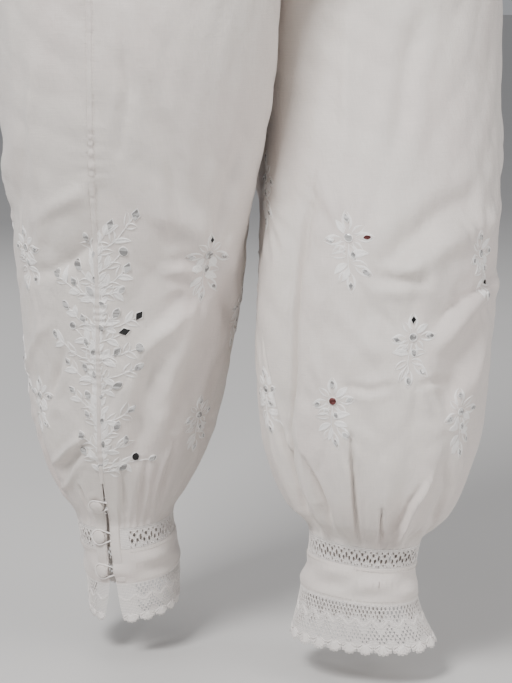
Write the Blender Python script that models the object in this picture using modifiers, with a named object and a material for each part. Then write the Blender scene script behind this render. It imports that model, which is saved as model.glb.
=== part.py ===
"""Salwar: gathered trousers with lace cuffs, buttoned at the ankle, hollow as when they are worn.

Metres, +Z up. The wearer faces -Y, so the right leg is at -X. The origin is at the middle of the waist,
and a drop is a distance below it. Each panel is a closed wall, lofted through the garment's sections.
"""

import math

import bpy
import numpy as np
from mathutils import Vector

# Driving sizes
CLOTH = 0.0015
LACE = 0.0014
BAND_CLOTH = 0.0020
HALF_SEAM = 0.00015
BAND_HALF_HEIGHT = 0.018
CROTCH_DROP = 0.335
CROTCH_Y = 0.008
CROTCH_GAP = 0.0004
CLEFT_TOP_DROP = 0.190
GATHER_DROP = 0.877
INSERTION_DROP = 0.899
CUFF_DROP = 0.932
SCALLOP_DEPTH = 0.007
SLIT_TOP_DROP = 0.820

RIGHT, LEFT = -1, 1
HEM_DROPS = {RIGHT: 0.966, LEFT: 0.975}
SIDES = {"right": RIGHT, "left": LEFT}

# Counts
PANEL_COLUMNS = 30
FLAT_COLUMNS = 2
PANEL_PLEATS = 7
INSERTION_REPEATS = 28
SCALLOPS = 20
SCALLOP_COLUMNS = 4
CUFF_COLUMNS = 15
BAND_COLUMNS = 40

# Waist and hips: the half sizes of the oval round both legs
HIP_COLUMNS = ("drop", "half_x", "half_y", "y")
HIPS = (
    (-0.020, 0.136, 0.106, 0.000),
    (0.018, 0.135, 0.105, 0.000),
    (0.060, 0.158, 0.119, 0.000),
    (0.120, 0.192, 0.140, 0.002),
    (0.190, 0.224, 0.153, 0.004),
    (0.260, 0.246, 0.156, 0.006),
    (0.335, 0.262, 0.154, 0.008),
)

# Legs: the line through the middle of each tube, by way of the knee, and how far its seams turn forward
LINE_COLUMNS = ("drop", "x", "y", "twist")
LEG_LINES = {
    RIGHT: (
        (0.190, -0.110, 0.008, 0),
        (CROTCH_DROP, -0.130, 0.008, 0),
        (0.620, -0.107, 0.070, -16),
        (GATHER_DROP, -0.101, 0.108, -20),
        (CUFF_DROP, -0.092, 0.110, -20),
        (0.985, -0.090, 0.110, -20),
    ),
    LEFT: (
        (0.190, 0.110, 0.008, 0),
        (CROTCH_DROP, 0.130, 0.008, 0),
        (0.620, 0.091, -0.060, 20),
        (GATHER_DROP, 0.066, -0.090, 17),
        (CUFF_DROP, 0.060, -0.090, 18),
        (0.985, 0.065, -0.090, 18),
    ),
}

# Legs: the radius of each tube, how oval it is along the foot, and how far it dips on one side
TUBE_COLUMNS = ("drop", "radius", "oval", "dip")
LEG_TUBES = {
    RIGHT: (
        (0.190, 0.128, 0.000, 0.000),
        (CROTCH_DROP, 0.134, 0.000, 0.000),
        (0.450, 0.132, 0.000, 0.000),
        (0.560, 0.124, 0.000, 0.000),
        (0.650, 0.112, 0.000, 0.000),
        (0.720, 0.102, 0.000, 0.001),
        (0.780, 0.093, 0.000, 0.002),
        (SLIT_TOP_DROP, 0.080, 0.000, 0.003),
        (0.850, 0.066, 0.001, 0.004),
        (GATHER_DROP, 0.053, 0.003, 0.005),
        (INSERTION_DROP, 0.054, 0.005, 0.007),
        (CUFF_DROP, 0.054, 0.005, 0.009),
        (0.985, 0.052, 0.006, 0.009),
    ),
    LEFT: (
        (0.190, 0.128, 0.000, 0.000),
        (CROTCH_DROP, 0.132, 0.000, 0.000),
        (0.450, 0.130, 0.000, 0.000),
        (0.560, 0.125, 0.000, 0.000),
        (0.650, 0.122, 0.000, 0.000),
        (0.720, 0.116, 0.000, 0.000),
        (0.780, 0.108, 0.000, 0.001),
        (SLIT_TOP_DROP, 0.096, 0.000, 0.003),
        (0.850, 0.080, 0.001, 0.005),
        (GATHER_DROP, 0.053, 0.003, 0.005),
        (INSERTION_DROP, 0.050, 0.005, 0.004),
        (CUFF_DROP, 0.053, 0.006, 0.004),
        (0.985, 0.065, 0.010, 0.001),
    ),
}
OVAL_TURN = {RIGHT: 115.0, LEFT: 130.0}
DIP_TURN = {RIGHT: 165.0, LEFT: 140.0}

# The side seam's place round each leg, as a share of a turn from the inseam through the front
SEAM_COLUMNS = ("drop", "share")
SIDE_SEAM = {
    RIGHT: ((0.018, 0.470), (0.335, 0.378), (0.600, 0.416), (0.820, 0.424), (0.880, 0.430), (0.985, 0.445)),
    LEFT: ((0.018, 0.500), (0.335, 0.500), (0.985, 0.500)),
}

# The hips: how far the cloth round the body crowds towards the sides, from which drop and over what length
CROWD = 0.5
CROWD_FROM_DROP = 0.020
CROWD_LENGTH = 0.250
SEAM_NEARNESS = 8
ROW_NEARNESS = 4

# How wide the slit at the ankle stands open
SLIT_COLUMNS = ("drop", "width")
SLIT = {
    RIGHT: (
        (SLIT_TOP_DROP, 0.0003),
        (0.835, 0.0015),
        (INSERTION_DROP, 0.0040),
        (CUFF_DROP, 0.0080),
        (0.950, 0.0130),
        (0.975, 0.0240),
    ),
    LEFT: (
        (SLIT_TOP_DROP, 0.0003),
        (0.835, 0.0015),
        (INSERTION_DROP, 0.0040),
        (CUFF_DROP, 0.0080),
        (0.950, 0.0140),
        (0.986, 0.0300),
    ),
}

# Rows of a panel: the drop at the outer side and at the inner side, where the crotch hangs lower
ROW_COLUMNS = ("outer_drop", "inner_drop")
PANEL_ROWS = (
    (0.0183, 0.0183),
    (0.055, 0.055),
    (0.105, 0.105),
    (0.160, 0.165),
    (0.205, 0.225),
    (0.245, 0.275),
    (0.280, 0.312),
    (0.310, CROTCH_DROP),
    (0.344, 0.354),
    (0.400, 0.402),
    (0.465, 0.465),
    (0.535, 0.535),
    (0.605, 0.605),
    (0.675, 0.675),
    (0.735, 0.735),
    (0.780, 0.780),
    (SLIT_TOP_DROP, SLIT_TOP_DROP),
    (0.845, 0.845),
    (0.862, 0.862),
    (GATHER_DROP - HALF_SEAM, GATHER_DROP - HALF_SEAM),
)

# Gathers: how deep each ankle pleat is beside the deepest, from the inseam round each panel
PLEAT_SHARES = {
    ("right", "front"): (0.70, 1.00, 0.60, 0.90, 0.65, 0.95, 0.55),
    ("right", "back"): (0.60, 0.90, 0.75, 1.00, 0.70, 0.85, 0.60),
    ("left", "front"): (0.90, 0.75, 1.00, 0.60, 0.95, 0.70, 0.85),
    ("left", "back"): (0.80, 0.65, 0.90, 0.70, 1.00, 0.75, 0.90),
}
PLEAT_COLUMNS = ("drop", "depth")
ANKLE_PLEATS = (
    (0.640, 0.0),
    (0.730, 0.0014),
    (0.790, 0.0040),
    (0.845, 0.0060),
    (0.862, 0.0044),
    (GATHER_DROP, 0.0),
)
WAIST_PLEATS = ((0.018, 0.0030), (0.050, 0.0052), (0.100, 0.0040), (0.160, 0.0012), (0.210, 0.0))

# The largest soft folds of each leg: where, how large, how steep and how deep; a ridge is above zero
FOLD_COLUMNS = ("turn", "drop", "half_turn", "half_length", "rise", "depth")
FOLDS = {
    RIGHT: (
        (62, 0.640, 30, 0.022, 0.10, -0.0060),
        (80, 0.585, 34, 0.024, 0.10, 0.0045),
        (196, 0.560, 26, 0.020, -0.06, -0.0050),
        (205, 0.520, 30, 0.016, -0.06, 0.0040),
        (110, 0.730, 24, 0.030, 0.12, 0.0035),
        (290, 0.620, 36, 0.026, 0.06, -0.0045),
        (320, 0.480, 40, 0.030, -0.05, 0.0045),
        (250, 0.440, 36, 0.026, 0.05, -0.0040),
    ),
    LEFT: (
        (75, 0.600, 34, 0.022, -0.10, 0.0050),
        (100, 0.560, 36, 0.022, -0.10, -0.0045),
        (60, 0.650, 26, 0.018, 0.02, -0.0040),
        (95, 0.715, 30, 0.026, -0.12, -0.0050),
        (20, 0.520, 12, 0.120, 0.00, -0.0040),
        (250, 0.600, 36, 0.026, 0.06, -0.0045),
        (300, 0.520, 30, 0.026, -0.06, 0.0040),
        (170, 0.480, 36, 0.026, 0.05, 0.0040),
    ),
}

# Buttons of covered cloth and the loops that hold them
BUTTON_RADIUS = 0.0070
BUTTON_HEIGHT = 0.0050
BUTTON_FOOT = 0.0012
BUTTON_COLUMNS = ("drop", "clearance", "loop_lift")
BUTTONS = ((0.850, 0.0000, 0.0022), (0.885, 0.0003, 0.0010), (0.919, 0.0003, 0.0010))
BUTTON_FOOT_SHARE = 0.55
BUTTON_STEPS = 12
BUTTON_DOME_DEGREES = (30, 55, 78)
RIM_POINTS = 8
LOOP_RADIUS = 0.0008
LOOP_POINTS = 8
LOOP_HOLD = 0.0060
LOOP_WRAP = math.radians(200)
LOOP_END_SPREAD = 0.0032
LOOP_REST = 0.0010
STAND_OFF = 0.0003
FACING = 0.0010
FACING_LIFT = 0.0005
FACING_DROPS = (0.822, 0.845, 0.862)

# How far apart the thighs stand: the gap, how soon it opens below the crotch, how it widens, how round it is
THIGH_GAP = 0.0035
THIGH_GAP_LENGTH = 0.008
THIGH_GAP_SPREAD = 0.010
THIGH_SOFTNESS = 0.006

# The waistband's padding over its elastic and the depth of its small gathers
BAND_PUFF = 0.0022
BAND_RIPPLE = 0.0012
BAND_ROWS = (-1, -0.35, 0.35, 1)

# The narrow lace: where its rows lie across the strip and how far the gaps' sides lean
INSERTION_ROWS = (0, 0.16, 0.44, 0.56, 0.84, 1)
INSERTION_LEAN = 0.11

# Colours and roughness of the materials
WHITE_CLOTH = (0.80, 0.78, 0.75)
WHITE_LACE = (0.86, 0.84, 0.82)
CLOTH_ROUGHNESS = 0.55
LACE_ROUGHNESS = 0.75
BUTTON_ROUGHNESS = 0.5
SHARP_EDGE = math.radians(50)


def column(columns, rows, name):
    """One named column of a table, as an array."""
    return np.array([row[columns.index(name)] for row in rows], float)


def curve_through(places, values):
    """A smooth curve through the values that never swings past them."""
    step = np.diff(places)
    rise = np.diff(values) / step
    slope = np.zeros(len(places))
    slope[0], slope[-1] = rise[0], rise[-1]
    for i in range(1, len(places) - 1):
        if rise[i - 1] * rise[i] > 0:
            before, after = 2 * step[i] + step[i - 1], step[i] + 2 * step[i - 1]
            slope[i] = (before + after) / (before / rise[i - 1] + after / rise[i])

    def at(place):
        place = min(max(place, places[0]), places[-1])
        i = min(int(np.searchsorted(places, place, "right")) - 1, len(step) - 1)
        t = (place - places[i]) / step[i]
        left = (1 + 2 * t) * values[i] + t * step[i] * slope[i]
        right = (3 - 2 * t) * values[i + 1] - (1 - t) * step[i] * slope[i + 1]
        return (1 - t) ** 2 * left + t ** 2 * right

    return at


def curves_of(columns, rows):
    """A curve along the first column for each of the others, by name."""
    places = column(columns, rows, columns[0])
    return {name: curve_through(places, column(columns, rows, name)) for name in columns[1:]}


HIP = curves_of(HIP_COLUMNS, HIPS)
LEG = {
    side: curves_of(LINE_COLUMNS, LEG_LINES[side]) | curves_of(TUBE_COLUMNS, LEG_TUBES[side])
    for side in (RIGHT, LEFT)
}
SIDE_SEAM_AT = {side: curves_of(SEAM_COLUMNS, rows)["share"] for side, rows in SIDE_SEAM.items()}
SLIT_AT = {side: curves_of(SLIT_COLUMNS, rows)["width"] for side, rows in SLIT.items()}
ANKLE_DEPTH_AT = curves_of(PLEAT_COLUMNS, ANKLE_PLEATS)["depth"]
WAIST_DEPTH_AT = curves_of(PLEAT_COLUMNS, WAIST_PLEATS)["depth"]
FOLD_SHAPES = {side: [dict(zip(FOLD_COLUMNS, row)) for row in rows] for side, rows in FOLDS.items()}


def ease(t):
    t = min(max(t, 0.0), 1.0)
    return t * t * (3 - 2 * t)


def soft_floor(value, softness):
    """The value where it is well above zero, and nearly zero where it is below."""
    if value > 30 * softness:
        return value
    return softness * math.log1p(math.exp(value / softness))


def panel_place(side, share, drop):
    """Which panel a share of a turn lies on, and how far along that panel it is."""
    seam = SIDE_SEAM_AT[side](drop)
    share = share % 1.0
    if share <= seam:
        return "front", share / seam
    return "back", (1 - share) / (1 - seam)


def gather(side, share, drop):
    """How far the gathers at the waist and ankle draw the cloth in; nothing beside the side seam."""
    panel, along = panel_place(side, share, drop)
    along = min(along * PANEL_COLUMNS / (PANEL_COLUMNS - FLAT_COLUMNS), 1.0)
    wave = 0.5 - 0.5 * math.cos(2 * math.pi * PANEL_PLEATS * along)
    pleat = min(int(along * PANEL_PLEATS), PANEL_PLEATS - 1)
    name = "right" if side == RIGHT else "left"
    shares = PLEAT_SHARES[name, panel]
    return -wave * (ANKLE_DEPTH_AT(drop) * shares[pleat] + WAIST_DEPTH_AT(drop))


def soft_folds(side, turn, drop):
    """The largest loose folds, each a soft ridge or trough that slants round the leg."""
    total = 0.0
    for fold in FOLD_SHAPES[side]:
        away = (math.degrees(turn) - fold["turn"] + 180) % 360 - 180
        across = (drop - fold["drop"] + fold["rise"] * math.radians(away)) / fold["half_length"]
        total += fold["depth"] * math.exp(-((away / fold["half_turn"]) ** 2) - across ** 2)
    return total


def leg_section(side, share, drop):
    """A point of one leg's tube, before the inner sides of the two thighs are pressed flat."""
    leg = LEG[side]
    turn = 2 * math.pi * share + math.radians(leg["twist"](drop))
    radius = leg["radius"](drop) + soft_folds(side, turn, drop)
    if drop < GATHER_DROP:
        radius += gather(side, share, drop)
    radius += leg["oval"](drop) * math.cos(2 * (turn - math.radians(OVAL_TURN[side])))
    dip = leg["dip"](drop) * math.cos(turn - math.radians(DIP_TURN[side]))
    x = leg["x"](drop) - side * math.cos(turn) * radius
    y = leg["y"](drop) - math.sin(turn) * radius
    return np.array((x, y, -drop - dip))


def hip_section(side, share, drop):
    """A point of the oval round the waist and hips, from the centre front round this side to the back."""
    crowd = 1 + CROWD * ease((drop - CROWD_FROM_DROP) / CROWD_LENGTH)
    half = 2 * min(share, 1 - share)
    angle = math.copysign(0.5 * math.pi * abs(half) ** crowd, half)
    draw = gather(side, share, drop)
    y_way = -1 if share <= 0.5 else 1
    x = side * (HIP["half_x"](drop) + draw) * math.sin(angle)
    y = HIP["y"](drop) + y_way * (HIP["half_y"](drop) + draw) * math.cos(angle)
    return np.array((x, y, -drop))


def parting(side, drop):
    """The middle point between the two legs and the level direction from it towards this leg."""
    here = np.array((LEG[side]["x"](drop), LEG[side]["y"](drop), 0.0))
    other = np.array((LEG[-side]["x"](drop), LEG[-side]["y"](drop), 0.0))
    middle = 0.5 * (here + other)
    away = here - other
    return middle, away / np.linalg.norm(away)


def skin(side, share, drop):
    """A point of the garment's outer surface."""
    if drop <= CLEFT_TOP_DROP:
        return hip_section(side, share, drop)
    point = leg_section(side, share, drop)
    middle, away = parting(side, drop)
    below = max(drop - CROTCH_DROP, 0.0)
    clear = HALF_SEAM + THIGH_GAP * (1 - math.exp(-below / THIGH_GAP_LENGTH)) + THIGH_GAP_SPREAD * below
    apart = float(np.dot((point - middle) * (1, 1, 0), away))
    point = point + away * (clear + soft_floor(apart - clear, THIGH_SOFTNESS) - apart)
    if drop >= CROTCH_DROP:
        return point
    fall = (drop - CLEFT_TOP_DROP) / (CROTCH_DROP - CLEFT_TOP_DROP)
    near_seam = math.cos(math.pi * share) ** SEAM_NEARNESS
    leg_part = near_seam * (1 - math.sqrt(max(1 - fall ** 2, 0.0))) + (1 - near_seam) * ease(fall)
    return (1 - leg_part) * hip_section(side, share, drop) + leg_part * point


def skin_normal(side, share, drop):
    """The outward direction of the surface there."""
    step_share, step_drop = 0.002, 0.0008
    across = skin(side, share + step_share, drop) - skin(side, share - step_share, drop)
    down = skin(side, share, drop + step_drop) - skin(side, share, drop - step_drop)
    normal = side * np.cross(down, across)
    return normal / np.linalg.norm(normal)


def wall_mesh(name, outer, inner, closed=False, holes=()):
    """A closed wall between two grids of points, with rims at its edges and round each hole."""
    rows, columns = outer.shape[:2]
    count = rows * columns
    vertices = [tuple(p) for p in outer.reshape(-1, 3)] + [tuple(p) for p in inner.reshape(-1, 3)]
    spans = columns if closed else columns - 1
    faces = []
    sides_seen = {}
    for r in range(rows - 1):
        for c in range(spans):
            if (r, c) in holes:
                continue
            d = (c + 1) % columns
            ring = (r * columns + c, (r + 1) * columns + c, (r + 1) * columns + d, r * columns + d)
            for half in (ring[:3], (ring[0], ring[2], ring[3])):
                faces.append(half)
                faces.append(tuple(count + i for i in reversed(half)))
            for a, b in zip(ring, ring[1:] + ring[:1]):
                sides_seen[a, b] = True
    for a, b in sides_seen:
        if (b, a) not in sides_seen:
            faces.append((b, a, count + a, count + b))
    mesh = bpy.data.meshes.new(name)
    mesh.from_pydata(vertices, [], faces)
    if mesh_volume(mesh) < 0:
        mesh.flip_normals()
    mesh.validate()
    mesh.shade_smooth()
    mesh.set_sharp_from_angle(angle=SHARP_EDGE)
    return mesh


def mesh_volume(mesh):
    """Six times the enclosed volume, below zero if the faces point inwards."""
    mesh.calc_loop_triangles()
    total = 0.0
    for triangle in mesh.loop_triangles:
        a, b, c = (mesh.vertices[i].co for i in triangle.vertices)
        total += a.dot(b.cross(c))
    return total


def add_object(name, data, material, collection):
    obj = bpy.data.objects.new(name, data)
    if not data.materials:
        data.materials.append(material)
    collection.objects.link(obj)
    return obj


def make_material(name, colour, roughness):
    material = bpy.data.materials.new(name)
    material.use_nodes = True
    shader = material.node_tree.nodes["Principled BSDF"]
    shader.inputs["Base Color"].default_value = (*colour, 1)
    shader.inputs["Roughness"].default_value = roughness
    shader.inputs["Metallic"].default_value = 0.0
    return material


def ring_speed(side, share, drop):
    """Metres round the leg for each whole share there."""
    step = 0.002
    return np.linalg.norm(skin(side, share + step, drop) - skin(side, share - step, drop)) / (2 * step)


def panel_shares(side, panel, drop):
    """The shares of a turn that a panel's columns lie at, clear of the seams beside them."""
    seam = SIDE_SEAM_AT[side](drop)
    slit = SLIT_AT[side](drop) / 2 / ring_speed(side, seam, drop)
    inner = HALF_SEAM / ring_speed(side, 0.01, drop)
    if panel == "front":
        return np.linspace(inner, seam - slit, PANEL_COLUMNS + 1)
    return np.linspace(1 - inner, seam + slit, PANEL_COLUMNS + 1)


def seam_normal(side, panel, drop):
    """The outward direction in the middle plane, along the seam from the waist to the crotch."""
    if drop >= CROTCH_DROP:
        return np.array((0.0, 0.0, -1.0))
    share = 0.0 if panel == "front" else 1.0
    down = skin(side, share, min(drop + 0.002, CROTCH_DROP - 0.0001)) - skin(side, share, drop - 0.002)
    normal = np.array((0.0, down[2], -down[1]))
    if panel == "back":
        normal = -normal
    return normal / np.linalg.norm(normal)


def leg_panel(side, panel):
    """The outer and inner points of one leg panel, from the waistband to the ankle."""
    outer, inner = [], []
    outer_drops = column(ROW_COLUMNS, PANEL_ROWS, "outer_drop")
    inner_drops = column(ROW_COLUMNS, PANEL_ROWS, "inner_drop")
    for outer_drop, inner_drop in zip(outer_drops, inner_drops):
        shares = panel_shares(side, panel, outer_drop)
        outer_row, inner_row = [], []
        for i, share in enumerate(shares):
            lower = math.cos(math.pi * share) ** ROW_NEARNESS
            drop = outer_drop + (inner_drop - outer_drop) * lower
            if inner_drop == CROTCH_DROP and i == 0:
                drop = CROTCH_DROP
            point = skin(side, share, drop)
            seam_share = share
            if i == 0:
                seam_share = 0.0
            elif i == PANEL_COLUMNS and drop <= SLIT_TOP_DROP:
                seam_share = SIDE_SEAM_AT[side](drop)
            normal = skin_normal(side, seam_share, drop)
            if i == 0 and inner_drop <= CROTCH_DROP:
                point[0] = side * HALF_SEAM
                normal = seam_normal(side, panel, drop)
                if inner_drop == CROTCH_DROP:
                    point[1] = CROTCH_Y + (-CROTCH_GAP if panel == "front" else CROTCH_GAP)
            inside = point - normal * CLOTH
            if drop <= CROTCH_DROP:
                inside[0] = side * max(side * inside[0], HALF_SEAM)
            outer_row.append(point)
            inner_row.append(inside)
        outer.append(outer_row)
        inner.append(inner_row)
    return np.array(outer), np.array(inner)


def open_ring(side, drops, columns, thickness, start=0.0, end=1.0, lift=None):
    """Points of a ring round the ankle from one edge of the slit to the other, or a part of it.

    start and end are parts of the way round, from the slit's front edge through the inseam.
    lift gives a row and a way round and returns how much lower that point lies.
    """
    outer, inner = [], []
    for r, drop in enumerate(drops):
        seam = SIDE_SEAM_AT[side](drop)
        slit = SLIT_AT[side](drop) / 2 / ring_speed(side, seam, drop)
        outer_row, inner_row = [], []
        for way in np.linspace(start, end, columns + 1):
            share = seam - slit - way * (1 - 2 * slit)
            lower = lift(r, way) if lift else 0.0
            wrapped = share % 1.0
            point = skin(side, wrapped, drop + lower)
            normal = skin_normal(side, wrapped, drop)
            outer_row.append(point)
            inner_row.append(point - normal * thickness)
        outer.append(outer_row)
        inner.append(inner_row)
    return np.array(outer), np.array(inner)


def insertion_half(side, half):
    """Half of the narrow lace between the leg and the cuff, with two cut gaps in each repeat."""
    top, bottom = GATHER_DROP + HALF_SEAM, INSERTION_DROP - HALF_SEAM
    height = bottom - top
    drops = [top + height * part for part in INSERTION_ROWS]
    repeats = INSERTION_REPEATS // 2
    columns = 2 * repeats
    margin = 0.5 * HALF_SEAM / (math.pi * LEG[side]["radius"](top))
    start, end = (0.0, 0.5 - margin) if half == "front" else (0.5 + margin, 1.0)
    outer, inner = open_ring(side, drops, columns, LACE, start, end)
    for points in (outer, inner):
        straight = points.copy()
        for r, way in ((1, -1), (2, 1), (3, -1), (4, 1)):
            for c in range(1, columns):
                upper_gap = r <= 2
                toward = 1 if (c % 2 == 1) == upper_gap else -1
                points[r, c] += way * INSERTION_LEAN * toward * (straight[r, c] - straight[r, c - 1])
    holes = set()
    for c in range(1, columns - 1):
        holes.add((1 if c % 2 == 1 else 3, c))
    return outer, inner, holes


def scallop(way):
    """How far the hem hangs at a way round the ankle, between 0 at a notch and 1 at a scallop's tip."""
    return math.sqrt(abs(math.sin(math.pi * SCALLOPS * way)))


def edge_lace(side):
    """The wide lace below the cuff, with a scalloped hem."""
    top = CUFF_DROP + HALF_SEAM
    drops = [top, top + 0.5 * (HEM_DROPS[side] - top), HEM_DROPS[side]]

    def lift(row, way):
        return SCALLOP_DEPTH * scallop(way) if row == len(drops) - 1 else 0.0

    return open_ring(side, drops, SCALLOPS * SCALLOP_COLUMNS, LACE, lift=lift)


def waistband():
    """The elastic casing round the waist, with small even gathers."""
    rows = [BAND_HALF_HEIGHT * part for part in BAND_ROWS]
    puff = (0.0, BAND_PUFF, BAND_PUFF, 0.0)
    outer, inner = [], []
    for drop, swell in zip(rows, puff):
        outer_row, inner_row = [], []
        for c in range(BAND_COLUMNS):
            angle = 2 * math.pi * c / BAND_COLUMNS
            grow = swell + (BAND_RIPPLE if c % 2 else -BAND_RIPPLE)
            way = np.array((math.sin(angle), -math.cos(angle), 0.0))
            size = np.array((HIP["half_x"](drop), HIP["half_y"](drop), 0.0))
            point = way * (size + grow) + np.array((0.0, 0.0, -drop))
            normal = np.array((way[0] / size[0], way[1] / size[1], 0.0))
            outer_row.append(point)
            inner_row.append(point - normal / np.linalg.norm(normal) * (BAND_CLOTH + swell))
        outer.append(outer_row)
        inner.append(inner_row)
    return np.array(outer), np.array(inner)


def facing(side, panel):
    """A flat strip on the outside, along one edge of the slit from its top down to the end of the cuff."""
    cuff_middle = 0.5 * (INSERTION_DROP + CUFF_DROP)
    lace_middle = 0.5 * (GATHER_DROP + INSERTION_DROP)
    drops = [*FACING_DROPS, GATHER_DROP - HALF_SEAM, GATHER_DROP + HALF_SEAM]
    drops += [lace_middle, INSERTION_DROP, cuff_middle, CUFF_DROP - HALF_SEAM]
    outer, inner = [], []
    for drop in drops:
        shares = panel_shares(side, panel, drop)[-FLAT_COLUMNS - 1:]
        outer_row, inner_row = [], []
        for share in shares:
            point = skin(side, share, drop)
            normal = skin_normal(side, share, drop)
            outer_row.append(point + normal * (FACING_LIFT + FACING))
            inner_row.append(point + normal * FACING_LIFT)
        outer.append(outer_row)
        inner.append(inner_row)
    return np.array(outer), np.array(inner)


def slit_point(side, away, drop, height):
    """A point near the slit: away runs from its middle towards the back, and height is off the cloth."""
    seam = SIDE_SEAM_AT[side](drop)
    share = seam + away / ring_speed(side, seam, drop)
    return skin(side, share, drop) + height * skin_normal(side, share, drop)


def button_mesh():
    """A covered button: a low dome on a narrow foot, turned from its profile."""
    profile = [(0.0, BUTTON_HEIGHT)]
    for degrees in BUTTON_DOME_DEGREES:
        angle = math.radians(degrees)
        dome = BUTTON_HEIGHT - BUTTON_FOOT
        profile.append((BUTTON_RADIUS * math.sin(angle), BUTTON_FOOT + dome * math.cos(angle)))
    profile += [(BUTTON_RADIUS, BUTTON_FOOT), (BUTTON_FOOT_SHARE * BUTTON_RADIUS, 0.0), (0.0, 0.0)]
    mesh = bpy.data.meshes.new("covered_button")
    mesh.from_pydata([(x, 0, z) for x, z in profile], [(i, i + 1) for i in range(len(profile) - 1)], [])
    return mesh


def disc_places(radius):
    """The middle and the rim of a disc, as ways towards the back and ways down."""
    turns = [2 * math.pi * step / RIM_POINTS for step in range(RIM_POINTS)]
    return [(0.0, 0.0)] + [(radius * math.cos(turn), radius * math.sin(turn)) for turn in turns]


def disc_normal(side, middle, drop, radius):
    """The mean outward direction of the cloth beneath a disc beside the slit."""
    seam = SIDE_SEAM_AT[side](drop)
    normal = Vector((0.0, 0.0, 0.0))
    for away, down in disc_places(radius):
        share = seam + (middle + away) / ring_speed(side, seam, drop)
        normal += Vector(skin_normal(side, share, drop + down))
    return normal.normalized()


def disc_seat(side, middle, drop, radius, normal):
    """The middle of a disc that lies on the highest cloth beneath it."""
    above = FACING_LIFT + FACING
    points = [
        Vector(slit_point(side, middle + away, drop + down, above)) for away, down in disc_places(radius)
    ]
    return points[0] + normal * max((point - points[0]).dot(normal) for point in points)


def add_buttons(name, side, cloth, thread, collection):
    """The buttons along the back edge of the slit and a loop from the front edge round each."""
    reach = BUTTON_RADIUS + LOOP_RADIUS + STAND_OFF
    for number, row in enumerate(BUTTONS, 1):
        drop = row[BUTTON_COLUMNS.index("drop")]
        clearance = row[BUTTON_COLUMNS.index("clearance")]
        height = FACING_LIFT + FACING + LOOP_RADIUS + row[BUTTON_COLUMNS.index("loop_lift")]
        slit = SLIT_AT[side](drop) / 2
        middle = slit + BUTTON_RADIUS
        normal = disc_normal(side, middle, drop, BUTTON_RADIUS)
        seat = disc_seat(side, middle, drop, BUTTON_RADIUS, normal) + normal * clearance
        rest = disc_seat(side, middle, drop, reach + LOOP_RADIUS, normal)
        button = add_object(f"{name}_button_{number}", button_mesh(), cloth, collection)
        button.location = seat
        button.rotation_mode = "QUATERNION"
        button.rotation_quaternion = normal.to_track_quat("Z", "Y")
        turn = button.modifiers.new("turned", "SCREW")
        turn.steps = turn.render_steps = BUTTON_STEPS
        turn.use_merge_vertices = True
        turn.merge_threshold = 0.00005
        near, far = (Vector(slit_point(side, away, drop, 0)) for away in (middle, middle + reach))
        back_way = far - near
        back_way = (back_way - normal * back_way.dot(normal)).normalized()
        down_way = normal.cross(back_way)
        if down_way.z > 0:
            down_way.negate()
        points = []
        for step in range(LOOP_POINTS):
            angle = LOOP_WRAP * (step / (LOOP_POINTS - 1) - 0.5)
            flat = back_way * math.cos(angle) + down_way * math.sin(angle)
            points.append(rest + flat * reach + normal * (LOOP_REST + LOOP_RADIUS))
        hold = -(slit + LOOP_HOLD)
        ends = [slit_point(side, hold, drop + way * LOOP_END_SPREAD, height) for way in (-1, 1)]
        add_tube(f"{name}_loop_{number}", [ends[0], *points, ends[1]], LOOP_RADIUS, thread, collection)


def add_tube(name, points, radius, material, collection):
    curve = bpy.data.curves.new(name, "CURVE")
    curve.dimensions = "3D"
    curve.bevel_depth = radius
    curve.bevel_resolution = 0
    curve.use_fill_caps = True
    spline = curve.splines.new("POLY")
    spline.points.add(len(points) - 1)
    for target, point in zip(spline.points, points):
        target.co = (*point, 1)
    return add_object(name, curve, material, collection)


def clear_scene():
    for obj in list(bpy.data.objects):
        bpy.data.objects.remove(obj)


def main():
    clear_scene()
    collection = bpy.data.collections.new("salwar")
    bpy.context.scene.collection.children.link(collection)
    cloth = make_material("white_cloth", WHITE_CLOTH, CLOTH_ROUGHNESS)
    lace = make_material("white_lace", WHITE_LACE, LACE_ROUGHNESS)
    covered = make_material("covered_button", WHITE_CLOTH, BUTTON_ROUGHNESS)

    add_object("waistband", wall_mesh("waistband", *waistband(), closed=True), cloth, collection)
    for name, side in SIDES.items():
        for panel in ("front", "back"):
            mesh = wall_mesh(f"{name}_{panel}", *leg_panel(side, panel))
            add_object(f"{name}_leg_{panel}", mesh, cloth, collection)
        for half in ("front", "back"):
            outer, inner, holes = insertion_half(side, half)
            mesh = wall_mesh(f"{name}_insertion_{half}", outer, inner, holes=holes)
            add_object(f"{name}_insertion_{half}", mesh, lace, collection)
        drops = [INSERTION_DROP + HALF_SEAM, 0.5 * (INSERTION_DROP + CUFF_DROP), CUFF_DROP - HALF_SEAM]
        mesh = wall_mesh(f"{name}_cuff", *open_ring(side, drops, 2 * CUFF_COLUMNS, CLOTH))
        add_object(f"{name}_cuff", mesh, cloth, collection)
        add_object(f"{name}_edge_lace", wall_mesh(f"{name}_edge_lace", *edge_lace(side)), lace, collection)
        for panel in ("front", "back"):
            strip = wall_mesh(f"{name}_facing_{panel}", *facing(side, panel))
            add_object(f"{name}_facing_{panel}", strip, cloth, collection)
        add_buttons(name, side, covered, lace, collection)


main()
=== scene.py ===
"""The looks of the salwar: cloth with its creases, crochet lace, embroidery, mirrors, buttons and stitching.

Metres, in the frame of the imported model: +Z up, the wearer faces -Y and the right leg is at -X. A drop is a
distance below the waist, and a share is a part of a turn round a leg from the inseam through the front.
"""
import math

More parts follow.
